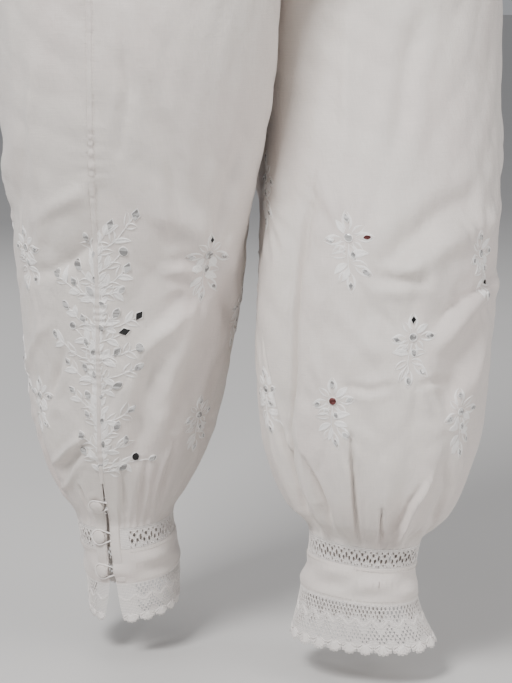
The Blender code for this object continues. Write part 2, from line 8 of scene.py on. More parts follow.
import bpy
import numpy as np
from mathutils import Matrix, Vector


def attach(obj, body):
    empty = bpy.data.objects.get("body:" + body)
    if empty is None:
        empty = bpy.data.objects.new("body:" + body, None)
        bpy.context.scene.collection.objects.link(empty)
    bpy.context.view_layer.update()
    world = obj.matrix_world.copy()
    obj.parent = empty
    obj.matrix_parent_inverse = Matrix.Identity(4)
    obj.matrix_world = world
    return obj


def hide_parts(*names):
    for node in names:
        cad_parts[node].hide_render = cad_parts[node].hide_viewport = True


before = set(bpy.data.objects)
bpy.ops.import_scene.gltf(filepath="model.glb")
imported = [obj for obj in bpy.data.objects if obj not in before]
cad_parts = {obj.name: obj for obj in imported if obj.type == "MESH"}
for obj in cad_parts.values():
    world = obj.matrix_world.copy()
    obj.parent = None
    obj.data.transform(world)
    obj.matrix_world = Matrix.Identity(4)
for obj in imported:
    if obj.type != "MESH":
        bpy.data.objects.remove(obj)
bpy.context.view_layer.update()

# Sizes of the construction
HALF_SEAM = 0.00015
BAND_HALF_HEIGHT = 0.018
CROTCH_DROP = 0.335
CROTCH_Y = 0.008
CLEFT_TOP_DROP = 0.190
GATHER_DROP = 0.877
INSERTION_DROP = 0.899
CUFF_DROP = 0.932
SCALLOP_DEPTH = 0.007
SLIT_TOP_DROP = 0.820
RIGHT, LEFT = -1, 1
SIDES = {"right": RIGHT, "left": LEFT}
HEM_DROPS = {RIGHT: 0.966, LEFT: 0.975}
PANEL_PLEATS = 7
PLEATED_SHARE = 28 / 30
INSERTION_REPEATS = 28
SCALLOPS = 20
BAND_RIPPLES = 20
THIGH_GAP = 0.0035
THIGH_GAP_LENGTH = 0.008
THIGH_GAP_SPREAD = 0.010
THIGH_SOFTNESS = 0.006
FACING_SHARE = 2 / 30
FACING_TOP = 0.0015
BUTTON_DROPS = (0.850, 0.885, 0.919)
BUTTON_RADIUS = 0.0070
LOOP_RADIUS = 0.0008
LOOP_REST = 0.0010
LOOP_TUCK = 0.0020
LOOP_WRAP = math.radians(200)
LOOP_END_SPREAD = 0.0032
STAND_OFF = 0.0003
ANKLE_ROUND = 2 * math.pi * 0.055
THIGH_ROUND = 2 * math.pi * 0.125

HIP_COLUMNS = ("drop", "half_x", "half_y", "y")
HIPS = (
    (-0.020, 0.136, 0.106, 0.000),
    (0.018, 0.135, 0.105, 0.000),
    (0.060, 0.158, 0.119, 0.000),
    (0.120, 0.192, 0.140, 0.002),
    (0.190, 0.224, 0.153, 0.004),
    (0.260, 0.246, 0.156, 0.006),
    (0.335, 0.262, 0.154, 0.008),
)
LINE_COLUMNS = ("drop", "x", "y", "twist")
LEG_LINES = {
    RIGHT: (
        (0.190, -0.110, 0.008, 0),
        (CROTCH_DROP, -0.130, 0.008, 0),
        (0.620, -0.107, 0.070, -16),
        (GATHER_DROP, -0.101, 0.108, -20),
        (CUFF_DROP, -0.092, 0.110, -20),
        (0.985, -0.090, 0.110, -20),
    ),
    LEFT: (
        (0.190, 0.110, 0.008, 0),
        (CROTCH_DROP, 0.130, 0.008, 0),
        (0.620, 0.091, -0.060, 20),
        (GATHER_DROP, 0.066, -0.090, 17),
        (CUFF_DROP, 0.060, -0.090, 18),
        (0.985, 0.065, -0.090, 18),
    ),
}
TUBE_COLUMNS = ("drop", "radius", "oval", "dip")
LEG_TUBES = {
    RIGHT: (
        (0.190, 0.128, 0.000, 0.000),
        (CROTCH_DROP, 0.134, 0.000, 0.000),
        (0.450, 0.132, 0.000, 0.000),
        (0.560, 0.124, 0.000, 0.000),
        (0.650, 0.112, 0.000, 0.000),
        (0.720, 0.102, 0.000, 0.001),
        (0.780, 0.093, 0.000, 0.002),
        (SLIT_TOP_DROP, 0.080, 0.000, 0.003),
        (0.850, 0.066, 0.001, 0.004),
        (GATHER_DROP, 0.053, 0.003, 0.005),
        (INSERTION_DROP, 0.054, 0.005, 0.007),
        (CUFF_DROP, 0.054, 0.005, 0.009),
        (0.985, 0.052, 0.006, 0.009),
    ),
    LEFT: (
        (0.190, 0.128, 0.000, 0.000),
        (CROTCH_DROP, 0.132, 0.000, 0.000),
        (0.450, 0.130, 0.000, 0.000),
        (0.560, 0.125, 0.000, 0.000),
        (0.650, 0.122, 0.000, 0.000),
        (0.720, 0.116, 0.000, 0.000),
        (0.780, 0.108, 0.000, 0.001),
        (SLIT_TOP_DROP, 0.096, 0.000, 0.003),
        (0.850, 0.080, 0.001, 0.005),
        (GATHER_DROP, 0.053, 0.003, 0.005),
        (INSERTION_DROP, 0.050, 0.005, 0.004),
        (CUFF_DROP, 0.053, 0.006, 0.004),
        (0.985, 0.065, 0.010, 0.001),
    ),
}
OVAL_TURN = {RIGHT: 115.0, LEFT: 130.0}
DIP_TURN = {RIGHT: 165.0, LEFT: 140.0}
SEAM_COLUMNS = ("drop", "share")
SIDE_SEAM = {
    RIGHT: ((0.018, 0.470), (0.335, 0.378), (0.600, 0.416), (0.820, 0.424), (0.880, 0.430), (0.985, 0.445)),
    LEFT: ((0.018, 0.500), (0.335, 0.500), (0.985, 0.500)),
}
SLIT_COLUMNS = ("drop", "width")
SLIT = {
    RIGHT: (
        (SLIT_TOP_DROP, 0.0003),
        (0.835, 0.0015),
        (INSERTION_DROP, 0.0040),
        (CUFF_DROP, 0.0080),
        (0.950, 0.0130),
        (0.975, 0.0240),
    ),
    LEFT: (
        (SLIT_TOP_DROP, 0.0003),
        (0.835, 0.0015),
        (INSERTION_DROP, 0.0040),
        (CUFF_DROP, 0.0080),
        (0.950, 0.0140),
        (0.986, 0.0300),
    ),
}
PLEAT_SHARES = {
    (RIGHT, "front"): (0.30, 0.38, 0.22, 0.34, 0.24, 0.36, 0.20),
    (RIGHT, "back"): (0.60, 0.90, 0.75, 1.00, 0.70, 0.85, 0.60),
    (LEFT, "front"): (0.90, 0.75, 1.00, 0.60, 0.95, 0.70, 0.85),
    (LEFT, "back"): (0.80, 0.65, 0.90, 0.70, 1.00, 0.75, 0.90),
}
PLEAT_COLUMNS = ("drop", "depth")
ANKLE_PLEATS = (
    (0.640, 0.0),
    (0.730, 0.0014),
    (0.790, 0.0040),
    (0.845, 0.0060),
    (0.862, 0.0044),
    (GATHER_DROP, 0.0),
)
WAIST_PLEATS = ((0.018, 0.0030), (0.050, 0.0052), (0.100, 0.0040), (0.160, 0.0012), (0.210, 0.0))
FINE_GATHERS = (
    (0.018, 0.0012),
    (0.060, 0.0008),
    (0.110, 0.0),
    (0.780, 0.0),
    (0.840, 0.0004),
    (0.866, 0.0006),
    (GATHER_DROP, 0.0005),
)
FOLD_COLUMNS = ("turn", "drop", "half_turn", "half_length", "rise", "depth")
FOLDS = {
    RIGHT: (
        (62, 0.640, 30, 0.022, 0.10, -0.0060),
        (80, 0.585, 34, 0.024, 0.10, 0.0045),
        (196, 0.560, 26, 0.020, -0.06, -0.0050),
        (205, 0.520, 30, 0.016, -0.06, 0.0040),
        (110, 0.730, 24, 0.030, 0.12, 0.0035),
        (290, 0.620, 36, 0.026, 0.06, -0.0045),
        (320, 0.480, 40, 0.030, -0.05, 0.0045),
        (250, 0.440, 36, 0.026, 0.05, -0.0040),
    ),
    LEFT: (
        (75, 0.600, 34, 0.022, -0.10, 0.0050),
        (100, 0.560, 36, 0.022, -0.10, -0.0045),
        (60, 0.650, 26, 0.018, 0.02, -0.0040),
        (95, 0.715, 30, 0.026, -0.12, -0.0050),
        (20, 0.520, 12, 0.120, 0.00, -0.0040),
        (250, 0.600, 36, 0.026, 0.06, -0.0045),
        (300, 0.520, 30, 0.026, -0.06, 0.0040),
        (170, 0.480, 36, 0.026, 0.05, 0.0040),
    ),
}

# The photograph's camera: its frame, its angle round and above the garment, its distance and its lens
FRAME_WIDTH, FRAME_HEIGHT = 512, 683
AZIMUTH = math.radians(-30)
ELEVATION = math.radians(10)
DISTANCE = 2.05
LENS = 108.0
SENSOR = 36.0
FOCAL_PIXELS = LENS / SENSOR * FRAME_HEIGHT
TARGET_DROP = 0.691
TARGET_SHIFT = 6.0
FLOOR_Z = -1.020

# How strongly the creases show, against the depths in their tables, and how far they reach in half widths
CREASE_GAIN = 1.8
CREASE_REACH = 6

# Where the creases fade out: below the crotch, and above the ankle's seam
CREASE_START = 0.02
CREASE_CALM = 0.006

# Creases that show in the photograph, by the pixels they run through: side, form, half width, depth, points
CREASE_COLUMNS = ("side", "form", "half_width", "depth", "points")
PHOTO_CREASES = (
    (RIGHT, "fold", 0.0130, 0.0052, ((28, 275), (48, 272), (66, 264), (80, 254), (92, 242))),
    (RIGHT, "ridge", 0.0070, 0.0030, ((34, 222), (54, 207), (72, 197), (90, 187))),
    (RIGHT, "fold", 0.0120, 0.0048, ((46, 410), (51, 390), (57, 368), (64, 350))),
    (RIGHT, "ridge", 0.0060, 0.0022, ((52, 322), (40, 332), (32, 350), (28, 372))),
    (RIGHT, "ridge", 0.0035, 0.0030, ((84, 436), (70, 448), (54, 463))),
    (RIGHT, "trough", 0.0050, 0.0028, ((86, 446), (74, 457), (62, 470))),
    (RIGHT, "ridge", 0.0030, 0.0016, ((76, 470), (68, 484), (64, 494))),
    (RIGHT, "trough", 0.0028, 0.0028, ((80, 488), (84, 498), (88, 508))),
    (RIGHT, "crest", 0.0200, 0.0060, ((196, 306), (176, 320), (160, 333), (146, 348), (136, 366))),
    (RIGHT, "trough", 0.0120, 0.0040, ((160, 352), (150, 385), (142, 420), (140, 455))),
    (RIGHT, "ridge", 0.0110, 0.0030, ((186, 335), (172, 362), (162, 400), (154, 440))),
    (RIGHT, "trough", 0.0120, 0.0024, ((205, 335), (190, 372), (180, 410))),
    (RIGHT, "ridge", 0.0040, 0.0016, ((165, 272), (180, 270), (196, 272))),
    (RIGHT, "trough", 0.0050, 0.0016, ((168, 262), (182, 258), (196, 262))),
    (RIGHT, "trough", 0.0040, 0.0014, ((170, 282), (184, 282), (194, 286))),
    (RIGHT, "ridge", 0.0120, 0.0024, ((152, 212), (172, 222), (196, 232))),
    (RIGHT, "trough", 0.0080, 0.0022, ((150, 90), (172, 160), (178, 240))),
    (RIGHT, "trough", 0.0060, 0.0020, ((122, 20), (128, 90), (120, 150))),
    (RIGHT, "ridge", 0.0060, 0.0018, ((34, 60), (30, 120), (36, 180))),
    (RIGHT, "trough", 0.0035, 0.0022, ((122, 470), (124, 492), (126, 512))),
    (RIGHT, "trough", 0.0035, 0.0022, ((146, 462), (142, 490), (140, 512))),
    (RIGHT, "step", 0.0035, 0.0020, ((172, 448), (160, 482), (156, 506))),
    (RIGHT, "trough", 0.0100, 0.0025, ((244, 140), (222, 200), (214, 262))),
    (LEFT, "fold", 0.0140, 0.0062, ((312, 196), (304, 230), (297, 270), (293, 320), (290, 390), (286, 430),
                                    (288, 460), (296, 490), (308, 514), (318, 530))),
    (LEFT, "fold", 0.0056, 0.0052, ((261, 335), (267, 375), (274, 420), (284, 456), (296, 492), (312, 524))),
    (LEFT, "fold", 0.0085, 0.0064, ((302, 460), (314, 484), (325, 506), (331, 528))),
    (LEFT, "fold", 0.0032, 0.0034, ((351, 433), (353, 462), (355, 492), (358, 522), (359, 542))),
    (LEFT, "fold", 0.0030, 0.0024, ((382, 508), (382, 525), (382, 545))),
    (LEFT, "crest", 0.0080, 0.0044, ((434, 470), (424, 486), (412, 506), (401, 530), (396, 546))),
    (LEFT, "trough", 0.0060, 0.0026, ((444, 466), (446, 490), (434, 515), (422, 538))),
    (LEFT, "trough", 0.0110, 0.0040, ((470, 196), (430, 222), (392, 258), (378, 270))),
    (LEFT, "ridge", 0.0120, 0.0034, ((502, 205), (462, 236), (420, 262), (392, 282))),
    (LEFT, "trough", 0.0060, 0.0034, ((378, 278), (398, 281), (422, 280))),
    (LEFT, "fold", 0.0080, 0.0042, ((498, 270), (484, 286), (466, 298), (450, 310), (436, 328))),
    (LEFT, "ridge", 0.0080, 0.0028, ((502, 282), (480, 302), (458, 324), (440, 346))),
    (LEFT, "trough", 0.0140, 0.0040, ((490, 298), (472, 330), (454, 365), (446, 402))),
    (LEFT, "ridge", 0.0110, 0.0026, ((484, 345), (472, 378), (456, 404))),
    (LEFT, "trough", 0.0040, 0.0016, ((345, 386), (370, 391), (392, 386))),
    (LEFT, "trough", 0.0035, 0.0018, ((418, 386), (434, 381), (452, 382))),
    (LEFT, "ridge", 0.0100, 0.0022, ((330, 300), (352, 330), (372, 352))),
    (LEFT, "trough", 0.0090, 0.0026, ((420, 20), (404, 90), (396, 160))),
    (LEFT, "ridge", 0.0070, 0.0018, ((352, 10), (346, 80), (346, 150))),
    (LEFT, "trough", 0.0028, 0.0034, ((309, 205), (302, 236), (296, 274), (292, 322), (289, 390), (286, 432),
                                      (288, 462), (296, 490), (307, 512))),
    (LEFT, "trough", 0.0024, 0.0024, ((262, 340), (267, 378), (274, 422), (284, 458), (295, 490),
                                      (308, 518))),
    (LEFT, "trough", 0.0024, 0.0018, ((351, 436), (353, 464), (355, 494), (357, 520), (358, 538))),
    (LEFT, "trough", 0.0022, 0.0018, ((309, 470), (320, 490), (329, 512), (332, 526))),
    (LEFT, "step", 0.0030, 0.0030, ((426, 482), (413, 502), (402, 526), (397, 542))),
    (LEFT, "trough", 0.0024, 0.0016, ((383, 512), (382, 528), (382, 542))),
)

# Creases of the sides that the photograph hides, by share of a turn and drop
HIDDEN_CREASES = (
    (RIGHT, "trough", 0.0110, 0.0030, ((0.60, 0.48), (0.68, 0.54), (0.76, 0.58))),
    (RIGHT, "ridge", 0.0100, 0.0024, ((0.62, 0.56), (0.72, 0.62), (0.80, 0.66))),
    (RIGHT, "trough", 0.0040, 0.0022, ((0.58, 0.78), (0.59, 0.83), (0.60, 0.868))),
    (RIGHT, "fold", 0.0050, 0.0036, ((0.70, 0.76), (0.70, 0.82), (0.69, 0.868))),
    (RIGHT, "trough", 0.0040, 0.0024, ((0.84, 0.77), (0.84, 0.82), (0.83, 0.866))),
    (RIGHT, "trough", 0.0040, 0.0020, ((0.95, 0.78), (0.94, 0.83), (0.94, 0.866))),
    (RIGHT, "trough", 0.0100, 0.0030, ((0.78, 0.37), (0.86, 0.43), (0.93, 0.50))),
    (LEFT, "trough", 0.0110, 0.0030, ((0.58, 0.50), (0.66, 0.55), (0.75, 0.58))),
    (LEFT, "ridge", 0.0100, 0.0026, ((0.60, 0.60), (0.70, 0.64), (0.79, 0.70))),
    (LEFT, "fold", 0.0050, 0.0036, ((0.60, 0.77), (0.60, 0.82), (0.61, 0.868))),
    (LEFT, "trough", 0.0040, 0.0024, ((0.72, 0.76), (0.72, 0.82), (0.71, 0.868))),
    (LEFT, "fold", 0.0045, 0.0032, ((0.85, 0.78), (0.84, 0.82), (0.84, 0.866))),
    (LEFT, "trough", 0.0100, 0.0030, ((0.76, 0.38), (0.84, 0.45), (0.92, 0.52))),
)
PUCKER_DEPTH = 0.0009
PUCKER_PITCH = 0.0085
PUCKER_HALF_WIDTH = 0.016

# Slack unevenness all over a leg: whole waves round it, the fall of one wave, where it starts and its depth
RUMPLE_COLUMNS = ("turns", "fall", "phase", "depth")
RUMPLES = (
    (5, 0.210, 0.3, 0.0021),
    (8, -0.150, 1.9, 0.0016),
    (11, 0.120, 4.1, 0.0011),
    (4, -0.090, 2.6, 0.0011),
    (17, 0.260, 5.2, 0.0006),
)

# The pulls in the cloth round each embroidered spray
PULL_DEPTH = 0.0008
PULL_COUNT = 11
PULL_RADIUS = 0.036
PULL_SPREAD = 0.013

# The search for the place on a leg that shows at a pixel: its grid, its drops and how fine it ends
FIND_SHARES, FIND_DROPS = 360, 330
FIND_RANGE = (0.34, 0.99)
FIND_FINER = 17
FIND_FACING = 0.02

# Resolution of the cloth
PANEL_COLUMNS = 180
HIP_ROWS = 42
CLEFT_ROWS = 42
LEG_ROWS = 170

# Places of the embroidered sprays: the middle of each in the photograph, its lean in degrees and its size
SPRAY_GAIN = 1.10
SPRAY_COLUMNS = ("side", "x", "y", "lean", "size", "accent")
PHOTO_SPRAYS = (
    (RIGHT, 205, 270, 4, 0.95, "dark top"),
    (RIGHT, 197, 427, -6, 0.85, "none"),
    (RIGHT, 27, 262, 6, 0.90, "none"),
    (RIGHT, 40, 408, 8, 0.85, "none"),
    (RIGHT, 236, 318, 0, 0.95, "none"),
    (LEFT, 350, 256, 2, 1.00, "rosy right"),
    (LEFT, 483, 270, -8, 0.95, "dark low"),
    (LEFT, 411, 354, 4, 0.95, "dark top"),
    (LEFT, 333, 417, 0, 0.92, "rosy centre"),
    (LEFT, 459, 427, -10, 0.92, "none"),
)
HIDDEN_SPRAY_COLUMNS = ("side", "share", "drop", "lean", "size")
HIDDEN_SPRAYS = (
    (RIGHT, 0.02, 0.660, 0, 0.95),
    (RIGHT, 0.93, 0.560, 5, 0.95),
    (RIGHT, 0.88, 0.740, -4, 0.90),
    (RIGHT, 0.78, 0.640, 3, 0.95),
    (RIGHT, 0.66, 0.560, -5, 0.95),
    (RIGHT, 0.62, 0.720, 4, 0.90),
    (LEFT, 0.60, 0.620, 3, 0.95),
    (LEFT, 0.70, 0.530, -4, 0.95),
    (LEFT, 0.73, 0.720, 5, 0.90),
    (LEFT, 0.84, 0.620, -3, 0.95),
    (LEFT, 0.94, 0.540, 4, 0.95),
    (LEFT, 0.93, 0.740, -5, 0.90),
)

# The parts of a spray, in millimetres from its flower's centre: petals and leaves by their roots
SPRAY_LEAF_COLUMNS = ("x", "y", "turn", "length", "width", "bend", "mirror")
SPRAY_LEAVES = (
    (0.0, 6.0, -4, 17, 9.5, 0.1, "top"),
    (3.4, 3.6, 44, 13, 7.0, 0.2, None),
    (6.5, 0.6, 90, 16, 9.5, -0.1, "right"),
    (3.6, -3.4, 136, 12, 7.0, 0.2, None),
    (-3.4, -3.6, 222, 12, 7.0, -0.2, None),
    (-6.2, -0.8, -98, 16, 9.5, 0.1, "left"),
    (-3.4, 3.6, -48, 12, 6.5, -0.2, None),
    (0.6, -6.0, 164, 14, 8.5, 0.2, "inner"),
    (-2.0, -9.0, -112, 15, 7.0, -0.7, None),
    (-2.5, -15.0, -88, 16, 7.0, -0.6, None),
    (0.5, -17.0, 72, 16, 7.2, 0.8, None),
    (-2.5, -22.0, -122, 15, 6.6, -0.6, None),
    (1.0, -21.0, 96, 14, 6.8, 0.6, None),
    (-3.0, -28.0, -146, 13, 6.2, -0.5, None),
    (4.0, -23.5, 122, 19, 8.6, 0.3, "low"),
    (-0.5, -29.0, 174, 17, 8.4, 0.2, "foot"),
    (-1.5, -25.0, 205, 14, 6.0, 0.4, None),
)
SPRAY_STEM = ((0, -5), (-1.5, -14), (-2, -24), (-0.5, -32))
SPRAY_RING = (-6.5, -10.5, 2.3)

# The tall embroidered branch above each slit: where its stem starts and ends, and its sprigs in millimetres
BRANCH_DROPS = (0.812, 0.552)
SPRIG_COLUMNS = ("up", "reach", "rise", "pairs", "form", "size")
BRANCH_SPRIGS = (
    (4, 20, 6, 1, "oval", 1.10),
    (14, 33, 10, 1, "dark round", 1.00),
    (12, 50, 2, 1, "oval", 0.90),
    (20, -15, 8, 1, "oval", 0.95),
    (38, -16, 14, 1, "diamond", 1.00),
    (34, 24, 14, 2, "oval", 0.90),
    (50, 16, 14, 1, "oval", 1.10),
    (60, -10, 12, 1, "oval", 0.85),
    (66, 30, 12, 2, "diamond", 1.00),
    (80, -9, 14, 1, "oval", 1.05),
    (92, 17, 8, 1, "oval", 1.20),
    (84, -26, 22, 2, "diamond", 0.95),
    (108, -12, 14, 1, "oval", 0.95),
    (112, 37, 14, 2, "oval", 1.10),
    (112, -32, 20, 2, "diamond", 0.90),
    (126, 17, 12, 1, "diamond", 1.15),
    (132, 38, 14, 2, "round", 0.95),
    (134, -10, 14, 1, "oval", 0.90),
    (138, -48, 24, 3, "oval", 1.00),
    (146, 24, 10, 1, "dark diamond", 1.20),
    (150, -24, 18, 1, "round", 0.95),
    (162, 38, 14, 2, "dark diamond", 1.15),
    (164, 16, 14, 1, "oval", 1.20),
    (158, -13, 14, 1, "diamond", 0.95),
    (170, -32, 22, 2, "oval", 1.05),
    (186, -5, 14, 1, "oval", 1.15),
    (194, -22, 18, 1, "diamond", 1.05),
    (200, -42, 22, 3, "oval", 0.90),
    (188, 22, 4, 2, "oval", 0.90),
    (210, 28, 20, 2, "diamond", 1.20),
    (210, -17, 18, 1, "oval", 1.10),
    (226, 25, 20, 1, "round", 1.15),
    (238, -8, 14, 1, "oval", 0.90),
    (252, 14, 22, 2, "diamond", 1.20),
    (262, 38, 40, 3, "diamond", 1.25),
)

# Colours, linear
CLOTH_COLOUR = (0.765, 0.708, 0.660)
CLOTH_SHADE = (0.740, 0.662, 0.625)
THREAD_COLOUR = (0.97, 0.94, 0.915)
LACE_COLOUR = (0.93, 0.880, 0.845)
MIRROR_COLOUR = (0.62, 0.61, 0.60)
DARK_MIRROR_COLOUR = (0.012, 0.012, 0.013)
ROSY_MIRROR_COLOUR = (0.150, 0.040, 0.038)
FLOOR_COLOUR = (0.60, 0.585, 0.57)


def column(columns, rows, name):
    """One named column of a table, as an array."""
    return np.array([row[columns.index(name)] for row in rows], float)


def rows_of(columns, rows):
    """Every row of a table, by the names of its columns."""
    return [dict(zip(columns, row)) for row in rows]


def unit(vectors):
    return vectors / np.maximum(np.linalg.norm(vectors, axis=-1, keepdims=True), 1e-9)


def way_along(points):
    """The distance along a path at each of its points."""
    return np.concatenate([[0.0], np.cumsum(np.linalg.norm(np.diff(points, axis=0), axis=-1))])


def evenly(points, count):
    """The same path with its points at even distances, and those distances."""
    distance = way_along(points)
    places = np.linspace(0, distance[-1], count)
    return np.stack([np.interp(places, distance, line) for line in points.T], axis=-1), places


def smoothed(path, times):
    """A path whose inner points are drawn towards their neighbours."""
    for _ in range(times):
        path[1:-1] = (path[:-2] + 2 * path[1:-1] + path[2:]) / 4
    return path


def curve_through(places, values):
    """A smooth curve through the values that never swings past them."""
    step = np.diff(places)
    rise = np.diff(values) / step
    slope = np.zeros(len(places))
    slope[0], slope[-1] = rise[0], rise[-1]
    for i in range(1, len(places) - 1):
        if rise[i - 1] * rise[i] > 0:
            before, after = 2 * step[i] + step[i - 1], step[i] + 2 * step[i - 1]
            slope[i] = (before + after) / (before / rise[i - 1] + after / rise[i])

    def at(place):
        place = np.clip(place, places[0], places[-1])
        i = np.clip(np.searchsorted(places, place, "right") - 1, 0, len(step) - 1)
        t = (place - places[i]) / step[i]
        left = (1 + 2 * t) * values[i] + t * step[i] * slope[i]
        right = (3 - 2 * t) * values[i + 1] - (1 - t) * step[i] * slope[i + 1]
        return (1 - t) ** 2 * left + t ** 2 * right

    return at


def curves_of(columns, rows):
    """A curve along the first column for each of the others, by name."""
    places = column(columns, rows, columns[0])
    return {name: curve_through(places, column(columns, rows, name)) for name in columns[1:]}


HIP = curves_of(HIP_COLUMNS, HIPS)
LEG = {
    side: curves_of(LINE_COLUMNS, LEG_LINES[side]) | curves_of(TUBE_COLUMNS, LEG_TUBES[side])
    for side in (RIGHT, LEFT)
}
SIDE_SEAM_AT = {side: curves_of(SEAM_COLUMNS, rows)["share"] for side, rows in SIDE_SEAM.items()}
SLIT_AT = {side: curves_of(SLIT_COLUMNS, rows)["width"] for side, rows in SLIT.items()}
ANKLE_DEPTH_AT = curves_of(PLEAT_COLUMNS, ANKLE_PLEATS)["depth"]
WAIST_DEPTH_AT = curves_of(PLEAT_COLUMNS, WAIST_PLEATS)["depth"]
FINE_DEPTH_AT = curves_of(PLEAT_COLUMNS, FINE_GATHERS)["depth"]


def ease(t):
    t = np.clip(t, 0.0, 1.0)
    return t * t * (3 - 2 * t)


def gather(side, share, drop):
    """How far the gathers at the waist and ankle draw the cloth in; nothing beside the side seam."""
    seam = SIDE_SEAM_AT[side](drop)
    share = share % 1.0
    front = share <= seam
    along = np.where(front, share / seam, (1 - share) / (1 - seam))
    along = np.minimum(along / PLEATED_SHARE, 1.0)
    wave = 0.5 - 0.5 * np.cos(2 * math.pi * PANEL_PLEATS * along)
    pleat = np.minimum((along * PANEL_PLEATS).astype(int), PANEL_PLEATS - 1)
    front_shares = np.array(PLEAT_SHARES[side, "front"])[pleat]
    back_shares = np.array(PLEAT_SHARES[side, "back"])[pleat]
    shares = np.where(front, front_shares, back_shares)
    large = wave * (ANKLE_DEPTH_AT(drop) * shares + WAIST_DEPTH_AT(drop))
    uneven = 0.6 + 0.4 * np.sin(9.0 * along + 2.0 * side + 1.7 * front)
    small = np.sin(2 * math.pi * (19 * along + 0.35 * np.sin(14 * along + side))) * uneven
    return -large + FINE_DEPTH_AT(drop) * small * np.minimum((1 - along) * 12, 1)


def soft_folds(side, turn, drop):
    """The largest loose folds, each a soft ridge or trough that slants round the leg."""
    total = 0.0
    for fold in rows_of(FOLD_COLUMNS, FOLDS[side]):
        away = (np.degrees(turn) - fold["turn"] + 180) % 360 - 180
        across = (drop - fold["drop"] + fold["rise"] * np.radians(away)) / fold["half_length"]
        total = total + fold["depth"] * np.exp(-((away / fold["half_turn"]) ** 2) - across ** 2)
    return total


def level(x, y, z):
    return np.stack(np.broadcast_arrays(x, y, z), axis=-1)


def leg_section(side, share, drop):
    """Points of one leg's tube, before the inner sides of the two thighs are pressed flat."""
    leg = LEG[side]
    turn = 2 * math.pi * share + np.radians(leg["twist"](drop))
    radius = leg["radius"](drop) + soft_folds(side, turn, drop) + gather(side, share, drop)
    radius = radius + leg["oval"](drop) * np.cos(2 * (turn - math.radians(OVAL_TURN[side])))
    dip = leg["dip"](drop) * np.cos(turn - math.radians(DIP_TURN[side]))
    x = leg["x"](drop) - side * np.cos(turn) * radius
    y = leg["y"](drop) - np.sin(turn) * radius
    return level(x, y, -drop - dip)


def hip_section(side, share, drop):
    """Points of the oval round the waist and hips, from the centre front round this side to the back."""
    crowd = 1 + 0.5 * ease((drop - 0.02) / 0.25)
    half = 2 * np.minimum(share, 1 - share)
    angle = np.copysign(0.5 * math.pi * np.abs(half) ** crowd, half)
    draw = gather(side, share, drop)
    y_way = np.where(share <= 0.5, -1, 1)
    x = side * (HIP["half_x"](drop) + draw) * np.sin(angle)
    y = HIP["y"](drop) + y_way * (HIP["half_y"](drop) + draw) * np.cos(angle)
    return level(x, y, -drop)


def skin(side, share, drop):
    """Points of the garment's outer surface, without its creases."""
    share, drop = np.broadcast_arrays(np.asarray(share, float), np.asarray(drop, float))
    point = leg_section(side, share, drop)
    here = level(LEG[side]["x"](drop), LEG[side]["y"](drop), 0.0)
    other = level(LEG[-side]["x"](drop), LEG[-side]["y"](drop), 0.0)
    middle = 0.5 * (here + other)
    away = unit(here - other)
    below = np.maximum(drop - CROTCH_DROP, 0.0)
    clear = HALF_SEAM + THIGH_GAP * (1 - np.exp(-below / THIGH_GAP_LENGTH)) + THIGH_GAP_SPREAD * below
    apart = np.sum((point - middle) * (1, 1, 0) * away, axis=-1)
    pressed = clear + THIGH_SOFTNESS * np.logaddexp(0.0, (apart - clear) / THIGH_SOFTNESS)
    point = point + away * (pressed - apart)[..., None]
    fall = np.clip((drop - CLEFT_TOP_DROP) / (CROTCH_DROP - CLEFT_TOP_DROP), 0.0, 1.0)
    near_seam = np.cos(math.pi * share) ** 8
    leg_part = near_seam * (1 - np.sqrt(1 - fall ** 2)) + (1 - near_seam) * ease(fall)
    leg_part = leg_part[..., None]
    return (1 - leg_part) * hip_section(side, share, drop) + leg_part * point


def normal_of(surface, side, share, drop):
    """The outward directions of a surface."""
    step_share, step_drop = 0.002, 0.0008
    across = surface(side, share + step_share, drop) - surface(side, share - step_share, drop)
    down = surface(side, share, drop + step_drop) - surface(side, share, drop - step_drop)
    return unit(side * np.cross(down, across))


def raised(surface, side, share, drop, lift):
    """Points of a surface, lifted along the normals of the skin."""
    return surface(side, share, drop) + normal_of(skin, side, share, drop) * np.asarray(lift)[..., None]


def ring_speed(side, share, drop):
    """Metres round the leg for each whole share there."""
    step = 0.004
    across = skin(side, share + step, drop) - skin(side, share - step, drop)
    return np.linalg.norm(across, axis=-1) / (2 * step)


def leg_round(side, drop):
    """Metres round the tube of a leg, without its folds."""
    return 2 * math.pi * LEG[side]["radius"](drop)


def camera_axes():
    """The camera's right, up and backward directions, and the point that it looks at."""
    right = np.array((math.cos(AZIMUTH), math.sin(AZIMUTH), 0.0))
    back = np.array((math.sin(AZIMUTH), -math.cos(AZIMUTH), 0.0))
    backward = back * math.cos(ELEVATION) + np.array((0.0, 0.0, math.sin(ELEVATION)))
    up = -back * math.sin(ELEVATION) + np.array((0.0, 0.0, math.cos(ELEVATION)))
    target = np.array((0.0, 0.0, -TARGET_DROP)) - right * TARGET_SHIFT * DISTANCE / FOCAL_PIXELS
    return right, up, backward, target


def to_pixels(points):
    """Where points show in the photograph's frame."""
    right, up, backward, target = camera_axes()
    offset = points - target
    depth = DISTANCE - offset @ backward
    x = FRAME_WIDTH / 2 + FOCAL_PIXELS * (offset @ right) / depth
    y = FRAME_HEIGHT / 2 - FOCAL_PIXELS * (offset @ up) / depth
    return x, y


